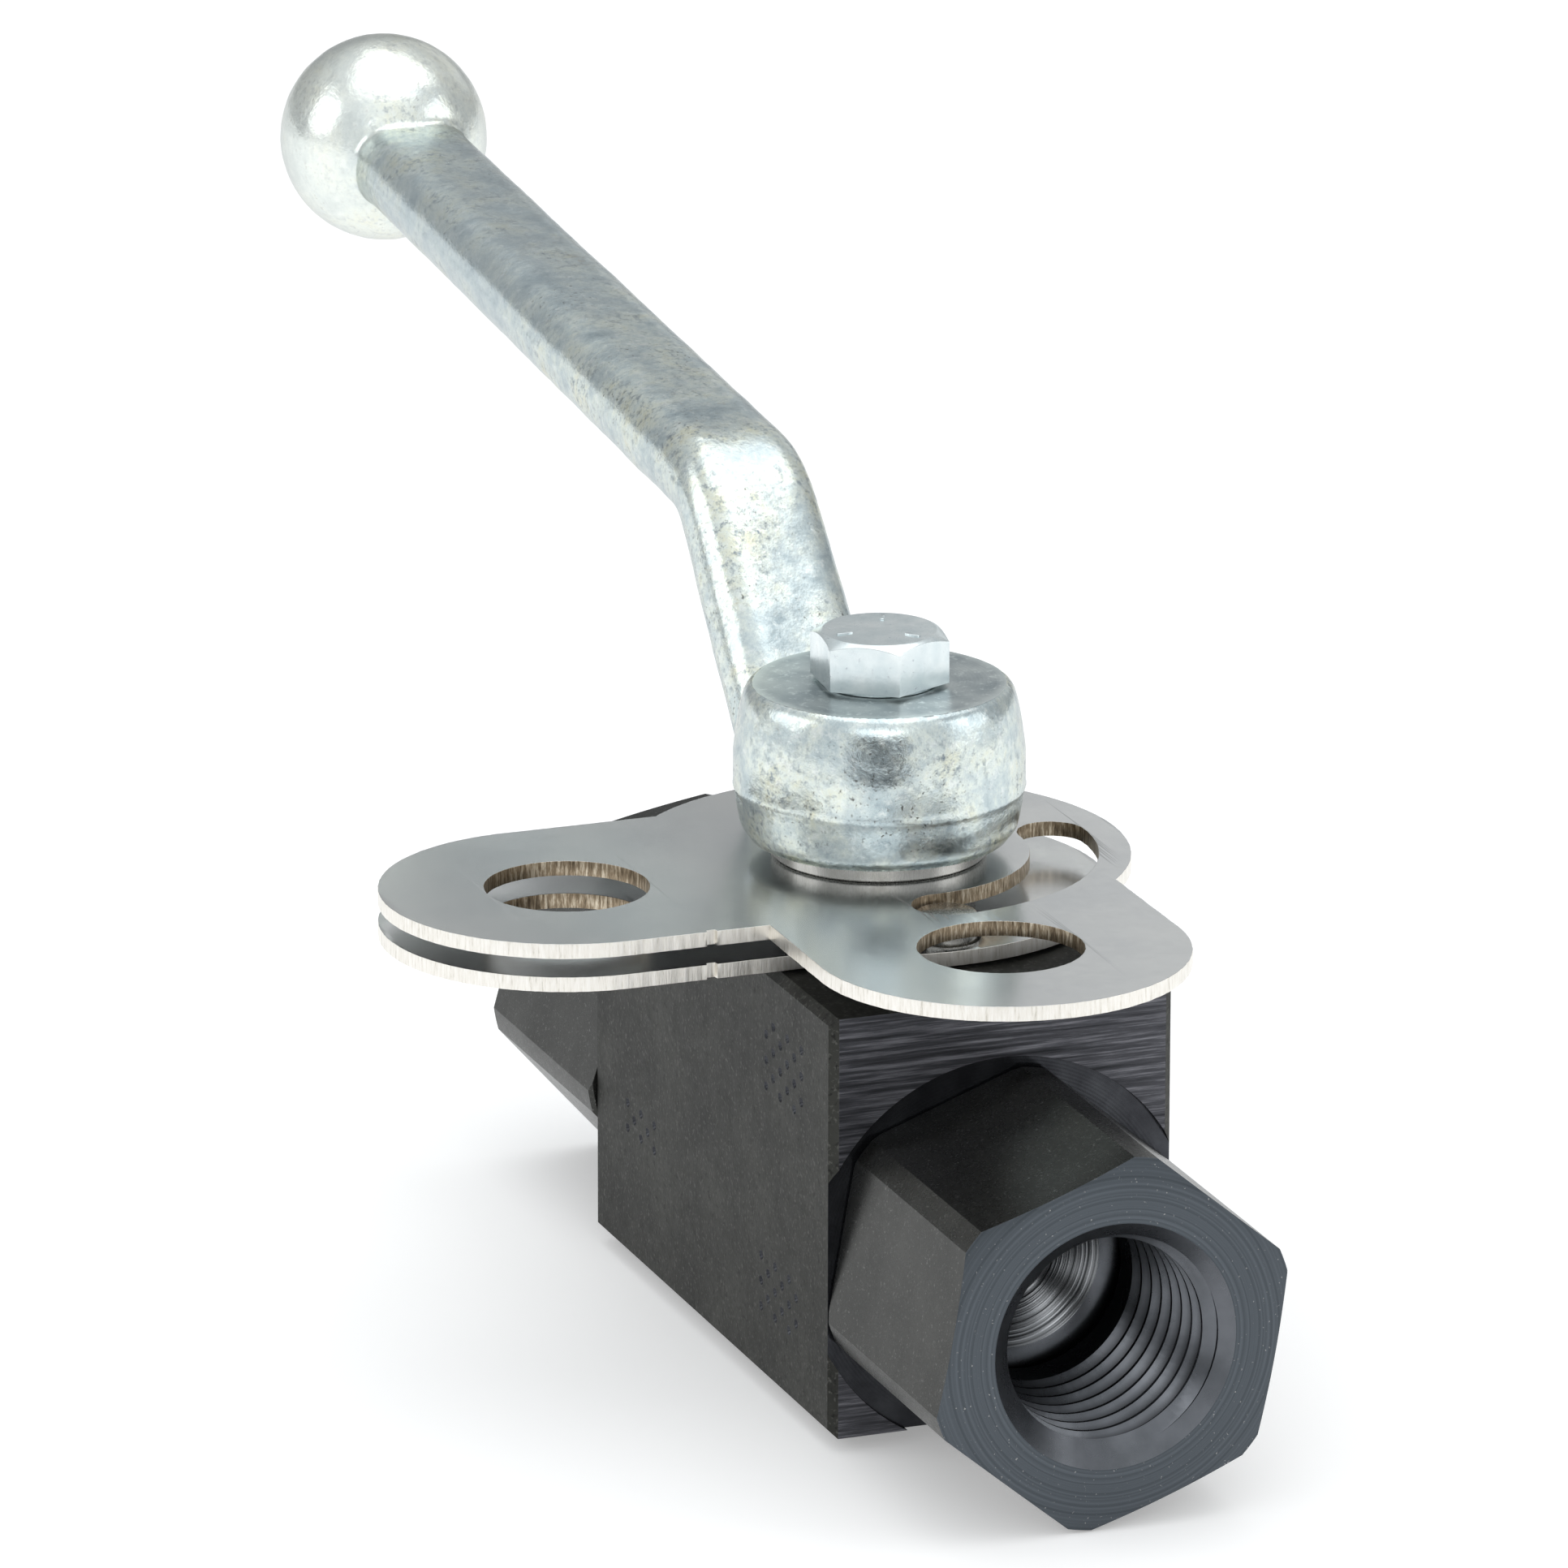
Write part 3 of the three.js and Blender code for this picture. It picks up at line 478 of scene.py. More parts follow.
def machined_zinc():
    """Plated machined faces: the hub's ends, its square socket and the bolt's hole."""
    paint = Paint("machined_zinc", (0.6, 0.67, 0.69), 0.95, 0.3)
    radius = paint.from_stem()
    rings = paint.rings(radius, 0.4)
    paint.color(paint.noise(4, detail=7), (0.36, (0.26, 0.31, 0.33)), (0.64, (0.45, 0.5, 0.5)))
    paint.over(paint.band(paint.noise(0.9, detail=6, roughness=0.7), 0.54, 0.7), (0.62, 0.68, 0.67))
    paint.over(paint.band(radius, 11.3, 12.6), (0.6, 0.66, 0.65))
    paint.rough(paint.noise(1), 0.24, 0.4)
    paint.bump(rings, 0.006, 0.5)
    return paint.material


def bolt_zinc():
    paint = Paint("bolt_zinc", (0.72, 0.78, 0.8), 0.97, 0.24)
    paint.color(paint.noise(3, detail=4), (0.3, (0.64, 0.72, 0.74)), (0.7, (0.82, 0.87, 0.87)))
    paint.over(paint.band(paint.noise(0.4, detail=3), 0.66, 0.76), (0.42, 0.46, 0.5))
    paint.rough(paint.noise(0.8), 0.18, 0.32)
    paint.bump(paint.noise(0.8, detail=2), 0.02, 0.5)
    return paint.material


def chrome():
    paint = Paint("ball_chrome", (0.8, 0.81, 0.83), 1.0, 0.08)
    paint.rough(paint.noise(2), 0.05, 0.12)
    return paint.material


def acetal():
    paint = Paint("acetal", (0.86, 0.85, 0.8), 0.0, 0.45)
    paint.color(paint.noise(2), (0.3, (0.82, 0.81, 0.76)), (0.7, (0.88, 0.87, 0.83)))
    paint.rough(paint.noise(0.6), 0.38, 0.52)
    return paint.material


def nitrile():
    paint = Paint("nitrile", (0.02, 0.02, 0.02), 0.0, 0.5)
    paint.color(paint.noise(0.8), (0.3, (0.015, 0.015, 0.015)), (0.7, (0.03, 0.03, 0.03)))
    paint.rough(paint.noise(0.5), 0.42, 0.62)
    return paint.material


BLOCK_SIDE = dark_steel()
BLOCK_END = milled_steel()
RECESS = recess_steel()
ADAPTER = adapter_steel()
ADAPTER_FACE = adapter_face_steel()
THREAD = thread_steel()
CONE = cone_steel()
SHEET = sheet_steel()
CUT = cut_steel()
SCORCHED = scorched_steel()
GROUND = ground_steel()
FORGED = forged_zinc()
MACHINED = machined_zinc()
BOLT = bolt_zinc()


# --- Mesh helpers ---


def add_object(name, data):
    obj = bpy.data.objects.new(name, data)
    bpy.context.scene.collection.objects.link(obj)
    return obj


def new_object(name, vertices, faces, material):
    """An object with one material and a mesh given in millimetres."""
    mesh = bpy.data.meshes.new(name)
    mesh.from_pydata([tuple(c * MM for c in v) for v in vertices], [], faces)
    mesh.materials.append(material)
    return add_object(name, mesh)


def turned(name, profile, segments, material, axis="Z", centre=(0, 0, 0)):
    """A turned solid. profile is (radius, height) pairs with the outside drawn upwards; it starts and
    ends on the axis, or closes on itself."""
    ring_ids, vertices = [], []
    closed = profile[0][0] > 0
    for radius, height in profile[:-1] if closed else profile:
        count = segments if radius > 0 else 1
        ring_ids.append(range(len(vertices), len(vertices) + count))
        for i in range(count):
            turn = 2 * math.pi * i / segments
            if axis == "Z":
                point = (radius * math.cos(turn), radius * math.sin(turn), height)
            else:
                point = (height, radius * math.cos(turn), radius * math.sin(turn))
            vertices.append(tuple(p + c for p, c in zip(point, centre)))
    if closed:
        ring_ids.append(ring_ids[0])
    faces = []
    for lower, upper in zip(ring_ids, ring_ids[1:]):
        for i in range(segments):
            j = (i + 1) % segments
            face = [lower[i % len(lower)], lower[j % len(lower)]]
            face += [upper[j % len(upper)], upper[i % len(upper)]]
            faces.append(tuple(dict.fromkeys(face)))
    return new_object(name, vertices, [f for f in faces if len(f) > 2], material)


def rod(radius, low, high):
    """The profile of a plain cylinder."""
    return [(0, low), (radius, low), (radius, high), (0, high)]


def rectangle(low, high, half):
    """An outline from low to high along the first axis, and half to each side of it."""
    return [(low, -half), (high, -half), (high, half), (low, half)]


def prism(name, outline, low, high, material, axis="Z"):
    """An outline of anticlockwise (a, b) points, drawn along an axis: XY along Z, or YZ along X."""
    place = (lambda a, b, h: (a, b, h)) if axis == "Z" else (lambda a, b, h: (h, a, b))
    count = len(outline)
    vertices = [place(a, b, h) for h in (low, high) for a, b in outline]
    sides = [(i, (i + 1) % count, count + (i + 1) % count, count + i) for i in range(count)]
    caps = [tuple(reversed(range(count))), tuple(range(count, 2 * count))]
    return new_object(name, vertices, sides + caps, material)


def tend(mesh, *operations):
    """Runs bmesh operations, given as (operation, kind of element, keyword arguments), on a mesh."""
    bm = bmesh.new()
    bm.from_mesh(mesh)
    for operation, kind, settings in operations:
        operation(bm, **{kind: getattr(bm, kind)}, **settings)
    bm.to_mesh(mesh)
    bm.free()


def face_outwards(mesh):
    tend(mesh, (bmesh.ops.recalc_face_normals, "faces", {}))


def swept(name, sections, material):
    """A solid through a row of sections with equally many points, closed at both ends."""
    count = len(sections[0])
    vertices = [point for section in sections for point in section]
    last = len(vertices) - count
    faces = []
    for a in range(0, last, count):
        b = a + count
        faces += [(a + k, a + (k + 1) % count, b + (k + 1) % count, b + k) for k in range(count)]
    faces += [tuple(reversed(range(count))), tuple(range(last, last + count))]
    obj = new_object(name, vertices, faces, material)
    face_outwards(obj.data)
    return obj


def bake(obj):
    """Applies the object's modifiers to its mesh."""
    depsgraph = bpy.context.evaluated_depsgraph_get()
    mesh = bpy.data.meshes.new_from_object(obj.evaluated_get(depsgraph))
    old = obj.data
    obj.modifiers.clear()
    obj.data = mesh
    bpy.data.meshes.remove(old)
    return obj


def combine(obj, tool, operation="DIFFERENCE"):
    """Cuts, joins or intersects obj with tool, and removes tool. Cut faces take its material."""
    modifier = obj.modifiers.new(operation, "BOOLEAN")
    modifier.operation = operation
    modifier.solver = "MANIFOLD"
    modifier.material_mode = "TRANSFER"
    modifier.object = tool
    bake(obj)
    bpy.data.objects.remove(tool)


def soften(obj, width, segments, angle):
    """Rounds the edges sharper than angle degrees by width millimetres."""
    modifier = obj.modifiers.new("soften", "BEVEL")
    modifier.width = width * MM
    modifier.segments = segments
    modifier.limit_method = "ANGLE"
    modifier.angle_limit = math.radians(angle)
    modifier.miter_outer = "MITER_ARC"
    bake(obj)


def clean(obj):
    """Merges the slivers that boolean cuts leave behind."""
    tend(
        obj.data,
        (bmesh.ops.remove_doubles, "verts", {"dist": MERGE * MM}),
        (bmesh.ops.dissolve_degenerate, "edges", {"dist": MERGE * MM}),
    )
    return obj


def shade(obj, angle=32.0):
    """Smooth shading, with edges sharper than angle degrees kept sharp."""
    obj.data.shade_smooth()
    obj.data.set_sharp_from_angle(angle=math.radians(angle))
    weighted = obj.modifiers.new("weighted", "WEIGHTED_NORMAL")
    weighted.keep_sharp = True
    return bake(obj)


def stand_for(obj, body, slot, *nodes):
    """Attaches a piece to the body it rides on and hides the CAD nodes it stands for. slot is not used.
    """
    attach(obj, body)
    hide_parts(*nodes)


def assign(obj, material, chosen):
    """Gives a material to the faces for which chosen(centre in millimetres, normal) is true."""
    index = obj.data.materials.find(material.name)
    if index < 0:
        obj.data.materials.append(material)
        index = len(obj.data.materials) - 1
    for face in obj.data.polygons:
        if chosen(face.center / MM, face.normal):
            face.material_index = index


# --- Block ---


def peen_marks():
    """The (x, z) places of the dots on the block's side: three plain chequered patches."""
    marks = []
    for x, z, columns, rows in PEEN_PATCHES:
        cells = ((c, r) for c in range(columns) for r in range(rows) if (c + r) % 2 == 0)
        marks += [(x + PEEN_PITCH[0] * c, z + PEEN_PITCH[1] * r) for c, r in cells]
    return marks


def peen_tool(face_y):
    """One mesh of separate small cones that point into the face and stand as far out of it."""
    vertices, faces = [], []
    base_radius = 2 * PEEN_RADIUS
    for x, z in peen_marks():
        first = len(vertices)
        for i in range(PEEN_SIDES):
            turn = 2 * math.pi * i / PEEN_SIDES
            across, up = base_radius * math.cos(turn), base_radius * math.sin(turn)
            vertices.append((x + across, face_y - PEEN_DEPTH, z + up))
        tip = len(vertices)
        vertices.append((x, face_y + PEEN_DEPTH, z))
        faces.append(tuple(range(first, tip)))
        faces += [(first + (i + 1) % PEEN_SIDES, first + i, tip) for i in range(PEEN_SIDES)]
    return new_object("peen_tool", vertices, faces, RECESS)


def build_block():
    bm = bmesh.new()
    bmesh.ops.create_cube(bm, size=1)
    size = BLOCK_HIGH - BLOCK_LOW
    bmesh.ops.scale(bm, vec=size * MM, verts=bm.verts)
    bmesh.ops.translate(bm, vec=(BLOCK_HIGH + BLOCK_LOW) / 2 * MM, verts=bm.verts)
    across = [e for e in bm.edges if abs((e.verts[0].co - e.verts[1].co).normalized().y) < 0.5]
    bmesh.ops.bevel(bm, geom=across, offset=BLOCK_CHAMFER * MM, segments=1, affect="EDGES")
    mesh = bpy.data.meshes.new("block")
    bm.to_mesh(mesh)
    bm.free()
    mesh.materials.append(BLOCK_SIDE)
    block = add_object("block", mesh)
    end = BLOCK_HIGH.x
    past_end, past_top = end + CUT_PAST, BLOCK_HIGH.z + CUT_PAST
    for side in (-1, 1):
        disc = rod(RECESS_RADIUS, *sorted((side * (end - RECESS_DEPTH), side * past_end)))
        combine(block, turned("recess_tool", disc, 160, RECESS, "X", FLOW_AXIS))
    bore = rod(BORE_RADIUS, -past_end, past_end)
    combine(block, turned("bore_tool", bore, 96, THREAD, "X", FLOW_AXIS))
    hole = rod(STEM_HOLE_RADIUS, PORT_Z, past_top)
    combine(block, turned("stem_tool", hole, 64, THREAD))
    shoulder = cad("stem_thrust_washer")[1]
    pocket = rod(shoulder.x + GAP, PORT_Z, shoulder.z + GAP)
    combine(block, turned("pocket_tool", pocket, 64, THREAD))
    pin_hole = rod(PIN_RADIUS + GAP, PIN[0].z - GAP, past_top)
    combine(block, turned("pin_tool", pin_hole, 48, THREAD, centre=(PIN_REACH, 0, 0)))
    assign(block, BLOCK_END, lambda c, n: abs(n.x) > 0.9 and abs(c.x) > end - RECESS_DEPTH / 2)
    soften(block, BLOCK_ROUNDING, 2, 40)
    combine(block, peen_tool(BLOCK_LOW.y))
    shade(block, 30)
    stand_for(block, "valve_body", "block", "valve_block")


# --- End adapters ---


def hexagon(flats, turn, centre):
    """Corners of a hexagon; the first is turned from the second axis towards the first."""
    corner = flats / math.sqrt(3)
    angles = [math.radians(turn - 60 * i) for i in range(6)]
    return [(centre[0] + corner * math.sin(a), centre[1] + corner * math.cos(a)) for a in angles]


def thread_tool(end_x):
    """A helical V-shaped groove cutter along the port, closed at both ends."""
    steps = 72
    turns = THREAD_LENGTH / THREAD_PITCH
    inner = THREAD_CREST_RADIUS - 0.25
    half_mouth = THREAD_PITCH * 0.46
    half_root = THREAD_PITCH * 0.08
    half_crest = half_mouth - 0.1
    groove = [
        (-half_mouth, inner),
        (half_mouth, inner),
        (half_crest, THREAD_CREST_RADIUS),
        (half_root, THREAD_ROOT_RADIUS),
        (-half_root, THREAD_ROOT_RADIUS),
        (-half_crest, THREAD_CREST_RADIUS),
    ]
    start = end_x + THREAD_PITCH * 0.4
    sections = []
    for i in range(int(turns * steps) + 1):
        x = start - THREAD_PITCH * i / steps
        turn = 2 * math.pi * i / steps
        y, z = math.cos(turn), math.sin(turn)
        sections.append([(x + along, radius * y, PORT_Z + radius * z) for along, radius in groove])
    return swept("thread_tool", sections, THREAD)


def build_adapter(name, hex_turn):
    """An adapter in its place at the front end, with its hexagon turned by hex_turn degrees."""
    end = ADAPTER_END
    start = BLOCK_HIGH.x - RECESS_DEPTH + GAP
    envelope = [
        (0, start),
        (HEX_CORNER_RADIUS - 0.4, start),
        (HEX_CORNER_RADIUS, start + 0.4),
        (HEX_CORNER_RADIUS, end - HEX_FACE_CHAMFER),
        (HEX_FACE_RADIUS, end),
        (0, end),
    ]
    adapter = turned(name, envelope, 192, ADAPTER, "X", FLOW_AXIS)
    outline = hexagon(HEX_FLATS, hex_turn, (0, PORT_Z))
    combine(adapter, prism("hex_tool", outline, start - 1, end + 1, ADAPTER, "X"), "INTERSECT")
    assign(adapter, ADAPTER_FACE, lambda c, n: n.x > 0.8)
    soften(adapter, HEX_ROUNDING, 3, 22)
    seal = cad("front_adapter_o_ring")
    groove_radius = SPIGOT_RADIUS - SEAL_GROOVE_DEPTH
    spigot = [
        (0, SPIGOT_END),
        (SPIGOT_RADIUS - 0.6, SPIGOT_END),
        (SPIGOT_RADIUS, SPIGOT_END + 0.6),
        (SPIGOT_RADIUS, seal[0].x - GAP),
        (groove_radius, seal[0].x - GAP),
        (groove_radius, seal[1].x + GAP),
        (SPIGOT_RADIUS, seal[1].x + GAP),
        (SPIGOT_RADIUS, start + 1),
        (0, start + 1),
    ]
    combine(adapter, turned("spigot", spigot, 96, ADAPTER, "X", FLOW_AXIS), "UNION")
    floor = end - PORT_DEPTH
    undercut = floor + UNDERCUT_LENGTH
    cone_run = (PORT_FLOOR_RADIUS - FLOW_RADIUS) / math.tan(math.radians(CONE_ANGLE / 2))
    mouth = PORT_MOUTH_RADIUS - THREAD_CREST_RADIUS
    port = [
        (0, floor),
        (PORT_FLOOR_RADIUS, floor),
        (UNDERCUT_RADIUS - 0.4, floor + 0.3),
        (UNDERCUT_RADIUS, floor + 0.8),
        (UNDERCUT_RADIUS, undercut - 1.0),
        (THREAD_CREST_RADIUS, undercut),
        (THREAD_CREST_RADIUS, end - mouth),
        (PORT_MOUTH_RADIUS, end),
        (PORT_MOUTH_RADIUS + 1, end + 1),
        (0, end + 1),
    ]
    combine(adapter, turned("port_tool", port, 128, THREAD, "X", FLOW_AXIS))
    flow = [
        (0, SPIGOT_END - 1),
        (SEAT_POCKET_RADIUS, SPIGOT_END - 1),
        (SEAT_POCKET_RADIUS, SEAT_POCKET_END),
        (FLOW_RADIUS, SEAT_POCKET_END),
        (FLOW_RADIUS, floor - cone_run),
        (PORT_FLOOR_RADIUS, floor),
        (PORT_FLOOR_RADIUS, floor + 1),
        (0, floor + 1),
    ]
    combine(adapter, turned("flow_tool", flow, 128, CONE, "X", FLOW_AXIS))
    combine(adapter, thread_tool(end))
    return shade(clean(adapter), 28)


def build_adapters():
    for name, turn, hex_turn in (("front", 0, FRONT_HEX_TURN), ("rear", math.pi, REAR_HEX_TURN)):
        adapter = build_adapter(f"{name}_end_adapter", hex_turn)
        adapter.data.transform(Matrix.Rotation(turn, 4, "Z"))
        stand_for(adapter, "valve_body", "adapter", f"{name}_adapter")


# --- Padlock plates ---


def arc(centre, radius, start, end, step=0.4):
    """Points along an arc, about step millimetres apart. Angles in degrees."""
    count = max(2, int(abs(math.radians(end - start)) * radius / step))
    angles = np.radians(np.linspace(start, end, count))
    return [(centre[0] + radius * math.cos(a), centre[1] + radius * math.sin(a)) for a in angles]


def line(start, end, step=0.4):
    """Points along a straight line, without its last point."""
    count = max(2, int(math.dist(start, end) / step))
    return [tuple(np.array(start) + (np.array(end) - start) * i / count) for i in range(count)]


def notched_side(top_y):
    """The +X side of the fixed ear, drawn upwards, with the notch where the laser started."""
    inside = EAR_RADIUS - NOTCH_DEPTH
    low = -NOTCH_REACH - NOTCH_WIDTH / 2
    high = low + NOTCH_WIDTH
    side = line((EAR_RADIUS, -EAR_REACH), (EAR_RADIUS, low)) + [(EAR_RADIUS, low)]
    side += [(inside, low + 0.15), (inside, high - 0.15)]
    return side + line((EAR_RADIUS, high), (EAR_RADIUS, top_y))


def upper_outline():
    meet = math.sqrt(UPPER_DISC_RADIUS**2 - EAR_RADIUS**2)
    first = math.degrees(math.atan2(EAR_RADIUS, meet))
    last = 180 + math.degrees(math.atan2(meet, EAR_RADIUS))
    points = arc((EAR_REACH, 0), EAR_RADIUS, -90, 90)
    points += line((EAR_REACH, EAR_RADIUS), (meet, EAR_RADIUS))[1:]
    points += arc((0, 0), UPPER_DISC_RADIUS, first, last)
    points += line((-EAR_RADIUS, -meet), (-EAR_RADIUS, -EAR_REACH))[1:]
    points += arc((0, -EAR_REACH), EAR_RADIUS, 180, 360)[:-1]
    points += notched_side(-EAR_RADIUS)
    return points + line((EAR_RADIUS, -EAR_RADIUS), (EAR_REACH, -EAR_RADIUS))


def lower_outline():
    meet = math.sqrt(LOWER_DISC_RADIUS**2 - EAR_RADIUS**2)
    first = -math.degrees(math.atan2(meet, EAR_RADIUS))
    points = arc((0, 0), LOWER_DISC_RADIUS, first, 180 - first)
    points += line((-EAR_RADIUS, -meet), (-EAR_RADIUS, -EAR_REACH))[1:]
    points += arc((0, -EAR_REACH), EAR_RADIUS, 180, 360)[:-1]
    return points + notched_side(-meet)


def circle(centre, radius):
    return arc(centre, radius, 0, 360, 0.3)[:-1]


def slot_outline():
    outer = arc((0, 0), PIN_REACH + SLOT_HALF, 0, 90)[:-1]
    far_end = arc((0, PIN_REACH), SLOT_HALF, 90, 270, 0.25)[:-1]
    inner = arc((0, 0), PIN_REACH - SLOT_HALF, 90, 0)[:-1]
    return outer + far_end + inner + arc((PIN_REACH, 0), SLOT_HALF, 180, 360, 0.25)[:-1]


def ragged(points, draw):
    """The outline with each point moved a little, as a laser leaves it."""
    low, high = -PLATE_RAGGED, PLATE_RAGGED
    return [(x + draw.uniform(low, high), y + draw.uniform(low, high)) for x, y in points]


def plate_piece(name, outlines, low, high):
    """A sheet with holes and finely rounded edges. The first outline is the outer one."""
    curve = bpy.data.curves.new(name, "CURVE")
    curve.dimensions = "2D"
    curve.fill_mode = "BOTH"
    curve.extrude = ((high - low) / 2 - PLATE_BURR) * MM
    curve.bevel_depth = PLATE_BURR * MM
    curve.bevel_resolution = 1
    curve.offset = -PLATE_BURR * MM
    for outline in outlines:
        spline = curve.splines.new("POLY")
        spline.points.add(len(outline) - 1)
        spline.use_cyclic_u = True
        for point, (x, y) in zip(spline.points, outline):
            point.co = (x * MM, y * MM, 0, 1)
    drawn = add_object(name + "_curve", curve)
    bpy.context.view_layer.update()
    depsgraph = bpy.context.evaluated_depsgraph_get()
    mesh = bpy.data.meshes.new_from_object(drawn.evaluated_get(depsgraph))
    bpy.data.objects.remove(drawn)
    mesh.transform(Matrix.Translation((0, 0, (low + high) / 2 * MM)))
    tend(mesh, (bmesh.ops.remove_doubles, "verts", {"dist": 1e-7}))
    face_outwards(mesh)
    mesh.materials.clear()
    mesh.materials.append(SHEET)
    plate = add_object(name, mesh)
    assign(plate, CUT, lambda c, n: abs(n.z) < 0.8)
    return plate


def near_hole(centre):
    """True on the walls of the slot and the padlock holes."""
    ears = ((0, -EAR_REACH), (EAR_REACH, 0))
    in_ear = any(math.dist(ear, centre.xy) < PADLOCK_RADIUS + HOLE_MARGIN for ear in ears)
    return in_ear or abs(centre.xy.length - PIN_REACH) < SLOT_HALF + SLOT_MARGIN


def build_plates():
    draw = random.Random(PLATE_SEED)
    half = SQUARE_HOLE / 2
    corners = rectangle(-half, half, half)
    ears = [circle((0, -EAR_REACH), PADLOCK_RADIUS), circle((EAR_REACH, 0), PADLOCK_RADIUS)]
    rough = [ragged(o, draw) for o in (upper_outline(), *ears, slot_outline())]
    upper = plate_piece("upper_padlock_plate", rough + [corners], UPPER_PLATE[0].z, UPPER_PLATE[1].z)
    assign(upper, SCORCHED, lambda c, n: abs(n.z) < 0.8 and near_hole(c))
    stand_for(shade(upper, 40), "lever", "plate", "upper_lock_plate")
    rough = [ragged(o, draw) for o in (lower_outline(), ears[0])]
    rough += [circle((0, 0), STEM_HOLE_RADIUS), circle((PIN_REACH, 0), PIN_RADIUS + GAP)]
    lower = plate_piece("lower_padlock_plate", rough, LOWER_PLATE[0].z, LOWER_PLATE[1].z)
    ear = Vector((0, -EAR_REACH))
    reach = PADLOCK_RADIUS + HOLE_MARGIN
    assign(lower, SCORCHED, lambda c, n: abs(n.z) < 0.8 and (c.xy - ear).length < reach)
    stand_for(shade(lower, 40), "valve_body", "plate", "lower_lock_plate")


def chamfered_ring(inner, outer, low, high, edge):
    """The closed profile of a ring with its four edges chamfered."""
    return [
        (inner, low + edge),
        (inner + edge, low),
        (outer - edge, low),
        (outer, low + edge),
        (outer, high - edge),
        (outer - edge, high),
        (inner + edge, high),
        (inner, high - edge),
        (inner, low + edge),
    ]


def build_small_rings():
    low, high = LOWER_PLATE[1].z + TOUCH, UPPER_PLATE[0].z - TOUCH
    ring = chamfered_ring(STEM_HOLE_RADIUS, SPACER[1].x, low, high, 0.15)
    spacer = turned("plate_spacing_ring", ring, 96, GROUND)
    stand_for(shade(spacer), "lever", "washer", "plate_spacer")
    inner = SQUARE_HOLE / math.sqrt(2)
    ring = chamfered_ring(inner, WASHER[1].x, UPPER_PLATE[1].z + TOUCH, HUB_LOW - TOUCH, 0.2)
    washer = turned("hub_seating_ring", ring, 128, GROUND)
    stand_for(shade(washer), "lever", "washer", "hub_washer")
    low, high = PIN[0].z, PIN[1].z
    pin = [
        (0, low),
        (PIN_RADIUS - 0.5, low),
        (PIN_RADIUS, low + 0.5),
        (PIN_RADIUS, high - 0.35),
        (PIN_RADIUS - 0.1, high - 0.12),
        (PIN_RADIUS - 0.35, high),
        (0, high),
    ]
    pin_piece = shade(turned("stop_dowel", pin, 64, GROUND, centre=(PIN_REACH, 0, 0)))
    stand_for(pin_piece, "valve_body", "pin", "stop_pin")


# --- Lever ---


def heading(angle):
    """The unit vector in the XZ plane at an angle from +X towards +Z."""
    return Vector((math.cos(angle), math.sin(angle)))


def centre_line():
    """Points and directions along the lever's centre line, and the knob's centre."""
    rise, tail = heading(math.pi - ARM_SLOPE), heading(math.pi - ARM_TAIL_SLOPE)
    corner = ARM_ROOT + rise * ARM_RISE
    tip = corner + tail * ARM_TAIL
    cut = ARM_BEND_RADIUS * math.tan((ARM_SLOPE - ARM_TAIL_SLOPE) / 2)
    centre = corner - rise * cut + heading(1.5 * math.pi - ARM_SLOPE) * ARM_BEND_RADIUS
    stations = [(ARM_ROOT.lerp(corner - rise * cut, t), rise) for t in np.linspace(0, 1, 24)]
    for t in np.linspace(0, 1, 12)[1:]:
        angle = math.pi / 2 - ARM_SLOPE + t * (ARM_SLOPE - ARM_TAIL_SLOPE)
        stations.append((centre + heading(angle) * ARM_BEND_RADIUS, heading(angle + math.pi / 2)))
    stations += [((corner + tail * cut).lerp(tip, t), tail) for t in np.linspace(0, 1, 60)[1:]]
    return stations, corner, tip


def arm_section(width, height):
    """A rectangle with round corners, as (across, up) points."""
    sides = 12
    points = []
    for turn, (a, b) in enumerate(((1, 1), (-1, 1), (-1, -1), (1, -1))):
        for i in range(sides + 1):
            angle = math.pi / 2 * (turn + i / sides)
            across = a * (width / 2 - ARM_CORNER) + ARM_CORNER * math.cos(angle)
            up = b * (height / 2 - ARM_CORNER) + ARM_CORNER * math.sin(angle)
            points.append((across, up))
    return points


def build_arm(stations, corner, tip):
    sections = []
    for point, direction in stations:
        up = Vector((direction.y, -direction.x))
        width = float(np.interp(-point.x, (HUB_BASE_RADIUS, -corner.x, -tip.x), ARM_WIDTHS))
        places = [(point + up * rise, across) for across, rise in arm_section(width, ARM_THICKNESS)]
        sections.append([(place.x, across, place.y) for place, across in places])
    return swept("arm", sections, FORGED)


def hub_profile():
    """The hub's side from bottom to top, with a little to be machined off at both ends."""
    height = HUB_TOP - HUB_LOW
    crown = height + HUB_CROWN
    knots = [  # height above the hub's lower face, radius
        (-HUB_SPARE, HUB_BASE_RADIUS - 0.8),
        (0.0, HUB_BASE_RADIUS),
        (1.0, HUB_BASE_RADIUS + 1.0),
        (3.2, HUB_BELT_RADIUS - 0.3),
        (5.8, HUB_BELT_RADIUS),
        (8.8, HUB_BELT_RADIUS),
        (11.5, HUB_TOP_RADIUS + 0.85),
        (height - 1.3, HUB_TOP_RADIUS + 0.35),
        (height - 0.4, HUB_TOP_RADIUS - 0.05),
        (height, HUB_TOP_RADIUS - 0.5),
        (crown, HUB_TOP_RADIUS - 1.2),
    ]
    heights = np.linspace(-HUB_SPARE, crown, 90)
    radii = np.interp(heights, *zip(*knots))
    side = [(float(r), HUB_LOW + float(h)) for r, h in zip(radii, heights)]
    return [(0, side[0][1]), *side, (0, side[-1][1])]


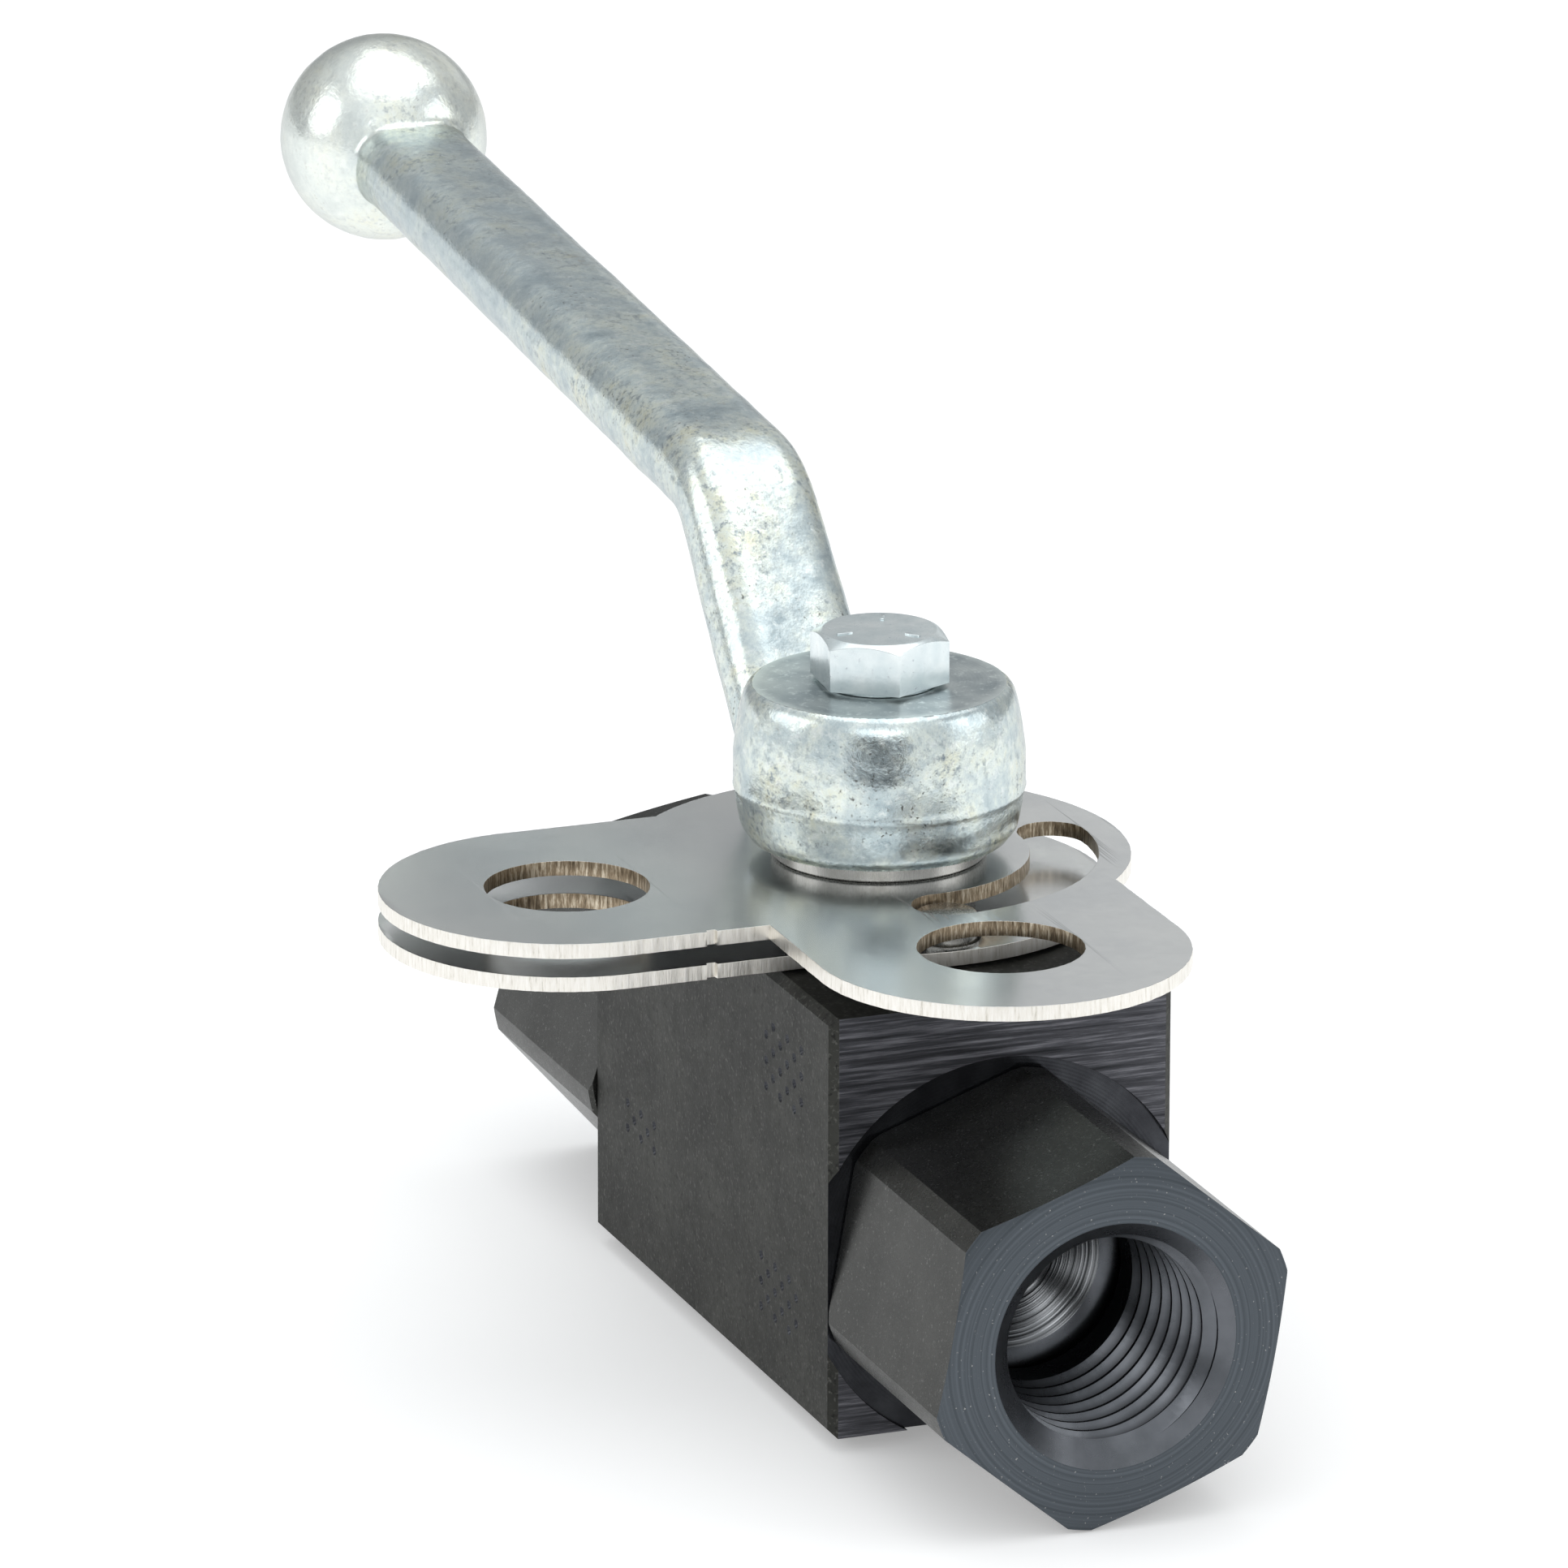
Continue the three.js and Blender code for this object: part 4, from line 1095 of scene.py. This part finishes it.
def knob_profile(centre_z):
    angles = np.linspace(-math.pi / 2, math.pi / 2, 49)[1:-1]
    side = [(KNOB_RADIUS * math.cos(a), centre_z + KNOB_RADIUS * math.sin(a)) for a in angles]
    return [(0, centre_z - KNOB_RADIUS), *side, (0, centre_z + KNOB_RADIUS)]


def forged_surface(obj, corner, tip):
    """Adds the uneven skin and the flash line of a forging."""
    mesh = obj.data
    places = np.empty(len(mesh.vertices) * 3)
    normals = np.empty(len(mesh.vertices) * 3, dtype=np.float32)
    mesh.vertices.foreach_get("co", places)
    mesh.vertex_normals.foreach_get("vector", normals)
    places, normals = places.reshape(-1, 3) / MM, normals.reshape(-1, 3)
    x, y, z = places.T
    push = np.zeros(len(places))
    for size, relief in SKIN:
        push += relief * np.array([noise.noise(Vector(p) / size) for p in places])
    on_hub = np.hypot(x, y) < HUB_BELT_RADIUS + 0.8
    height, half_width, relief = FLASH
    flash = relief * np.exp(-(((z - HUB_LOW - height) / half_width) ** 2))
    push += np.where(on_hub, flash, 0)
    on_knob = np.linalg.norm(places - (tip.x, 0, tip.y), axis=1) < KNOB_RADIUS + 0.6
    slope = np.where(x > corner.x, ARM_SLOPE, ARM_TAIL_SLOPE)
    off = (x - corner.x) * np.sin(slope) + (z - corner.y) * np.cos(slope)
    half_width, relief = SEAM
    seam = relief * np.abs(normals[:, 1]) * np.exp(-((off / half_width) ** 2))
    push += np.where(on_hub | on_knob, 0, seam)
    mesh.vertices.foreach_set("co", ((places + normals * push[:, None]) * MM).ravel())
    mesh.update()


def build_lever():
    """One forging: hub, arm and knob joined and smoothed together, then machined."""
    stations, corner, tip = centre_line()
    lever = turned("lever", hub_profile(), 128, FORGED)
    combine(lever, build_arm(stations, corner, tip), "UNION")
    combine(lever, turned("knob", knob_profile(tip.y), 96, FORGED, centre=(tip.x, 0, 0)), "UNION")
    remesh = lever.modifiers.new("remesh", "REMESH")
    remesh.mode = "VOXEL"
    remesh.voxel_size = VOXEL * MM
    bake(lever)
    smooth = lever.modifiers.new("smooth", "SMOOTH")
    smooth.factor = 0.5
    smooth.iterations = SMOOTHINGS
    bake(lever)
    forged_surface(lever, corner, tip)
    side = 60.0
    short_of_arm = -1.25 * HUB_TOP_RADIUS
    socket_half = SQUARE_HOLE / 2
    socket_top = cad("stem")[1].z + GAP
    cuts = (
        ("top_tool", rectangle(short_of_arm, short_of_arm + 2 * side, side), HUB_TOP, HUB_TOP + 8),
        ("bottom_tool", rectangle(-side, side, side), HUB_LOW - 20, HUB_LOW),
        ("socket_tool", rectangle(-socket_half, socket_half, socket_half), HUB_LOW - 1, socket_top),
    )
    for name, outline, low, high in cuts:
        combine(lever, prism(name, outline, low, high, MACHINED))
    shaft = rod(BOLT_RADIUS + GAP, socket_top - 1, HUB_TOP + 1)
    combine(lever, turned("bolt_hole_tool", shaft, 48, MACHINED))
    shade(lever, 40)
    stand_for(lever, "lever", "lever", "handle")


def build_bolt():
    low, high = BOLT_HEAD_LOW, BOLT_TOP
    corner = BOLT_FLATS / math.sqrt(3)
    drop = (corner - BOLT_FACE_RADIUS) * math.tan(math.radians(30))
    collar = BOLT_FLATS / 2 - 0.3
    envelope = [
        (0, low),
        (collar, low),
        (collar, low + 0.3),
        (corner + 0.2, low + 0.3),
        (corner + 0.2, high - drop - 0.1),
        (BOLT_FACE_RADIUS, high),
        (0, high),
    ]
    bolt = turned("lever_bolt", envelope, 144, BOLT)
    outline = hexagon(BOLT_FLATS, BOLT_TURN, (0, 0))
    combine(bolt, prism("bolt_hex_tool", outline, low - 1, high + 1, BOLT), "INTERSECT")
    soften(bolt, BOLT_ROUNDING, 2, 20)
    inner, outer, half, relief = TICK
    for i in range(3):
        tick = prism("tick", rectangle(inner, outer, half), high - 0.3, high + relief, BOLT)
        tick.data.transform(Matrix.Rotation(math.radians(120 * i + TICK_TURN), 4, "Z"))
        soften(tick, 0.08, 2, 30)
        combine(bolt, tick, "UNION")
    shank_low = cad("handle_bolt")[0].z
    shank = [(0, shank_low), (BOLT_RADIUS - 0.4, shank_low), (BOLT_RADIUS, shank_low + 0.5)]
    shank += [(BOLT_RADIUS, low + 0.6), (0, low + 0.6)]
    combine(bolt, turned("shank", shank, 48, BOLT), "UNION")
    shade(clean(bolt), 24)
    stand_for(bolt, "lever", "bolt", "handle_bolt")


# --- Pieces kept from the CAD model ---


def finish_inner_pieces():
    """Gives the CAD pieces inside the valve their materials."""
    seals = [f"{end}_{place}_o_ring" for end in ("front", "rear") for place in ("adapter", "seat")]
    finishes = {
        chrome(): ["ball"],
        GROUND: ["stem"],
        acetal(): ["front_ball_seat", "rear_ball_seat", "stem_thrust_washer", "stem_backup_ring"],
        nitrile(): seals + ["stem_o_ring_lower", "stem_o_ring_upper"],
    }
    for material, names in finishes.items():
        for name in names:
            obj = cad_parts[name]
            obj.data.materials.clear()
            obj.data.materials.append(material)


# --- Camera, floor and light ---

VIEW_AZIMUTH = math.radians(69.3)
VIEW_ELEVATION = math.radians(17.24)
VIEW_ROLL = math.radians(0.1)
VIEW_DISTANCE = 1274.93
VIEW_SIDE = -9.23
VIEW_RISE = 51.66
FOCAL_PIXELS = 16000
FRAME_PIXELS = 1932
SENSOR = 36.0
NEAR_CLIP = 0.01

# The studio, in metres. The dark card makes the dark reflection on the hub.
FLOOR_HALF = 4.0
FLOOR_DROP = 0.0002
FLOOR_ALBEDO = 0.8
FLOOR_GLOW = 0.3
CARD_ALBEDO = 0.04
CARD_DISTANCE = 0.45
CARD_HALF_WIDTH = 0.18
CARD_LOW, CARD_HIGH = 0.02, 0.15
SKY_COLOR = (0.96, 0.985, 1.0)
SKY_RISE = ((0.4, 0.85), (0.5, 0.85))  # height of the direction, strength
SKY_FRONT = ((0.1, 0.8), (0, 0.38))  # how far it points towards the camera, added strength
SOFTBOXES = (  # name, place, target, width, height, radiance
    ("top_box", (-0.1, 0.1, 0.9), (0, 0, 0.04), 0.9, 0.9, 0.9),
    ("left_box", (-0.3, -1.0, 0.5), (0, 0, 0.04), 0.7, 0.7, 1.2),
    ("right_box", (0.5, 0.9, 0.45), (0, 0, 0.05), 0.6, 0.7, 1.3),
    ("rear_box", (-0.466, 0.352, 0.225), (0.03, 0, 0.047), 0.3, 0.16, 0.3),
    ("front_box", (0.83, -0.31, 0.48), (0, 0, 0.05), 0.6, 0.3, 1.5),
)

AHEAD = Vector((math.sin(VIEW_AZIMUTH), -math.cos(VIEW_AZIMUTH), 0))  # level, towards the camera


def view_axes():
    """Right, up and back of the photograph's view."""
    back = AHEAD * math.cos(VIEW_ELEVATION) + Vector((0, 0, math.sin(VIEW_ELEVATION)))
    right = Vector((-AHEAD.y, AHEAD.x, 0))
    return right, back.cross(right), back


def place_camera():
    right, up, back = view_axes()
    data = bpy.data.cameras.new("camera")
    data.sensor_width = SENSOR
    data.lens = FOCAL_PIXELS / FRAME_PIXELS * SENSOR
    data.clip_start = NEAR_CLIP
    camera = add_object("camera", data)
    turn = Matrix((right, up, back)).transposed().to_4x4() @ Matrix.Rotation(VIEW_ROLL, 4, "Z")
    place = (right * VIEW_SIDE + up * VIEW_RISE + back * VIEW_DISTANCE) * MM
    camera.matrix_world = Matrix.Translation(place) @ turn
    bpy.context.scene.camera = camera


def softbox(name, place, target, width, height, radiance):
    """A rectangular light that looks from place at target."""
    data = bpy.data.lights.new(name, "AREA")
    data.shape = "RECTANGLE"
    data.size = width
    data.size_y = height
    data.energy = radiance * math.pi * width * height
    light = add_object(name, data)
    light.location = place
    light.rotation_euler = (Vector(target) - Vector(place)).to_track_quat("-Z", "Y").to_euler()


def stage_plane(name, corners, albedo, glow=0.0):
    """A matte four-cornered plane of the studio, which isn't part of the object."""
    mesh = bpy.data.meshes.new(name)
    mesh.from_pydata(corners, [], [(0, 1, 2, 3)])
    plane = add_object(name, mesh)
    paint = Paint(name + "_paint", (albedo,) * 3, 0.0, 0.9)
    paint.shader.inputs["Emission Color"].default_value = (1, 1, 1, 1)
    paint.shader.inputs["Emission Strength"].default_value = glow
    mesh.materials.append(paint.material)
    return plane


def build_world():
    """Light from all round: brighter overhead, and brighter from the camera's side than from behind."""
    world = bpy.data.worlds.new("studio")
    bpy.context.scene.world = world
    world.use_nodes = True
    tree = world.node_tree
    nodes, links = tree.nodes, tree.links
    split = nodes.new("ShaderNodeSeparateXYZ")
    direction = nodes.new("ShaderNodeTexCoord").outputs["Generated"]
    links.new(direction, split.inputs[0])
    toward = nodes.new("ShaderNodeVectorMath")
    toward.operation = "DOT_PRODUCT"
    toward.inputs[1].default_value = AHEAD
    links.new(direction, toward.inputs[0])
    both = nodes.new("ShaderNodeMath")
    links.new(map_range(tree, split.outputs[2], *SKY_RISE), both.inputs[0])
    links.new(map_range(tree, toward.outputs["Value"], *SKY_FRONT), both.inputs[1])
    background = nodes["Background"]
    background.inputs["Color"].default_value = (*SKY_COLOR, 1)
    links.new(both.outputs[0], background.inputs["Strength"])


def build_studio():
    floor_z = CAD_BOUNDS[0][2] - FLOOR_DROP
    corners = [(x, y, floor_z) for x, y in rectangle(-FLOOR_HALF, FLOOR_HALF, FLOOR_HALF)]
    stage_plane("floor", corners, FLOOR_ALBEDO, FLOOR_GLOW)
    aside = Vector((AHEAD.y, -AHEAD.x, 0))
    middle = AHEAD * CARD_DISTANCE
    outline = rectangle(CARD_LOW, CARD_HIGH, CARD_HALF_WIDTH)
    corners = [middle + aside * across + Vector((0, 0, z)) for z, across in outline]
    card = stage_plane("dark_card", corners, CARD_ALBEDO)
    card.visible_camera = card.visible_shadow = card.visible_diffuse = False
    build_world()
    for name, place, target, width, height, radiance in SOFTBOXES:
        softbox(name, place, target, width, height, radiance)
    bpy.context.scene.view_settings.view_transform = "Standard"


place_camera()
build_studio()
build_block()
build_adapters()
build_plates()
build_small_rings()
build_lever()
build_bolt()
finish_inner_pieces()
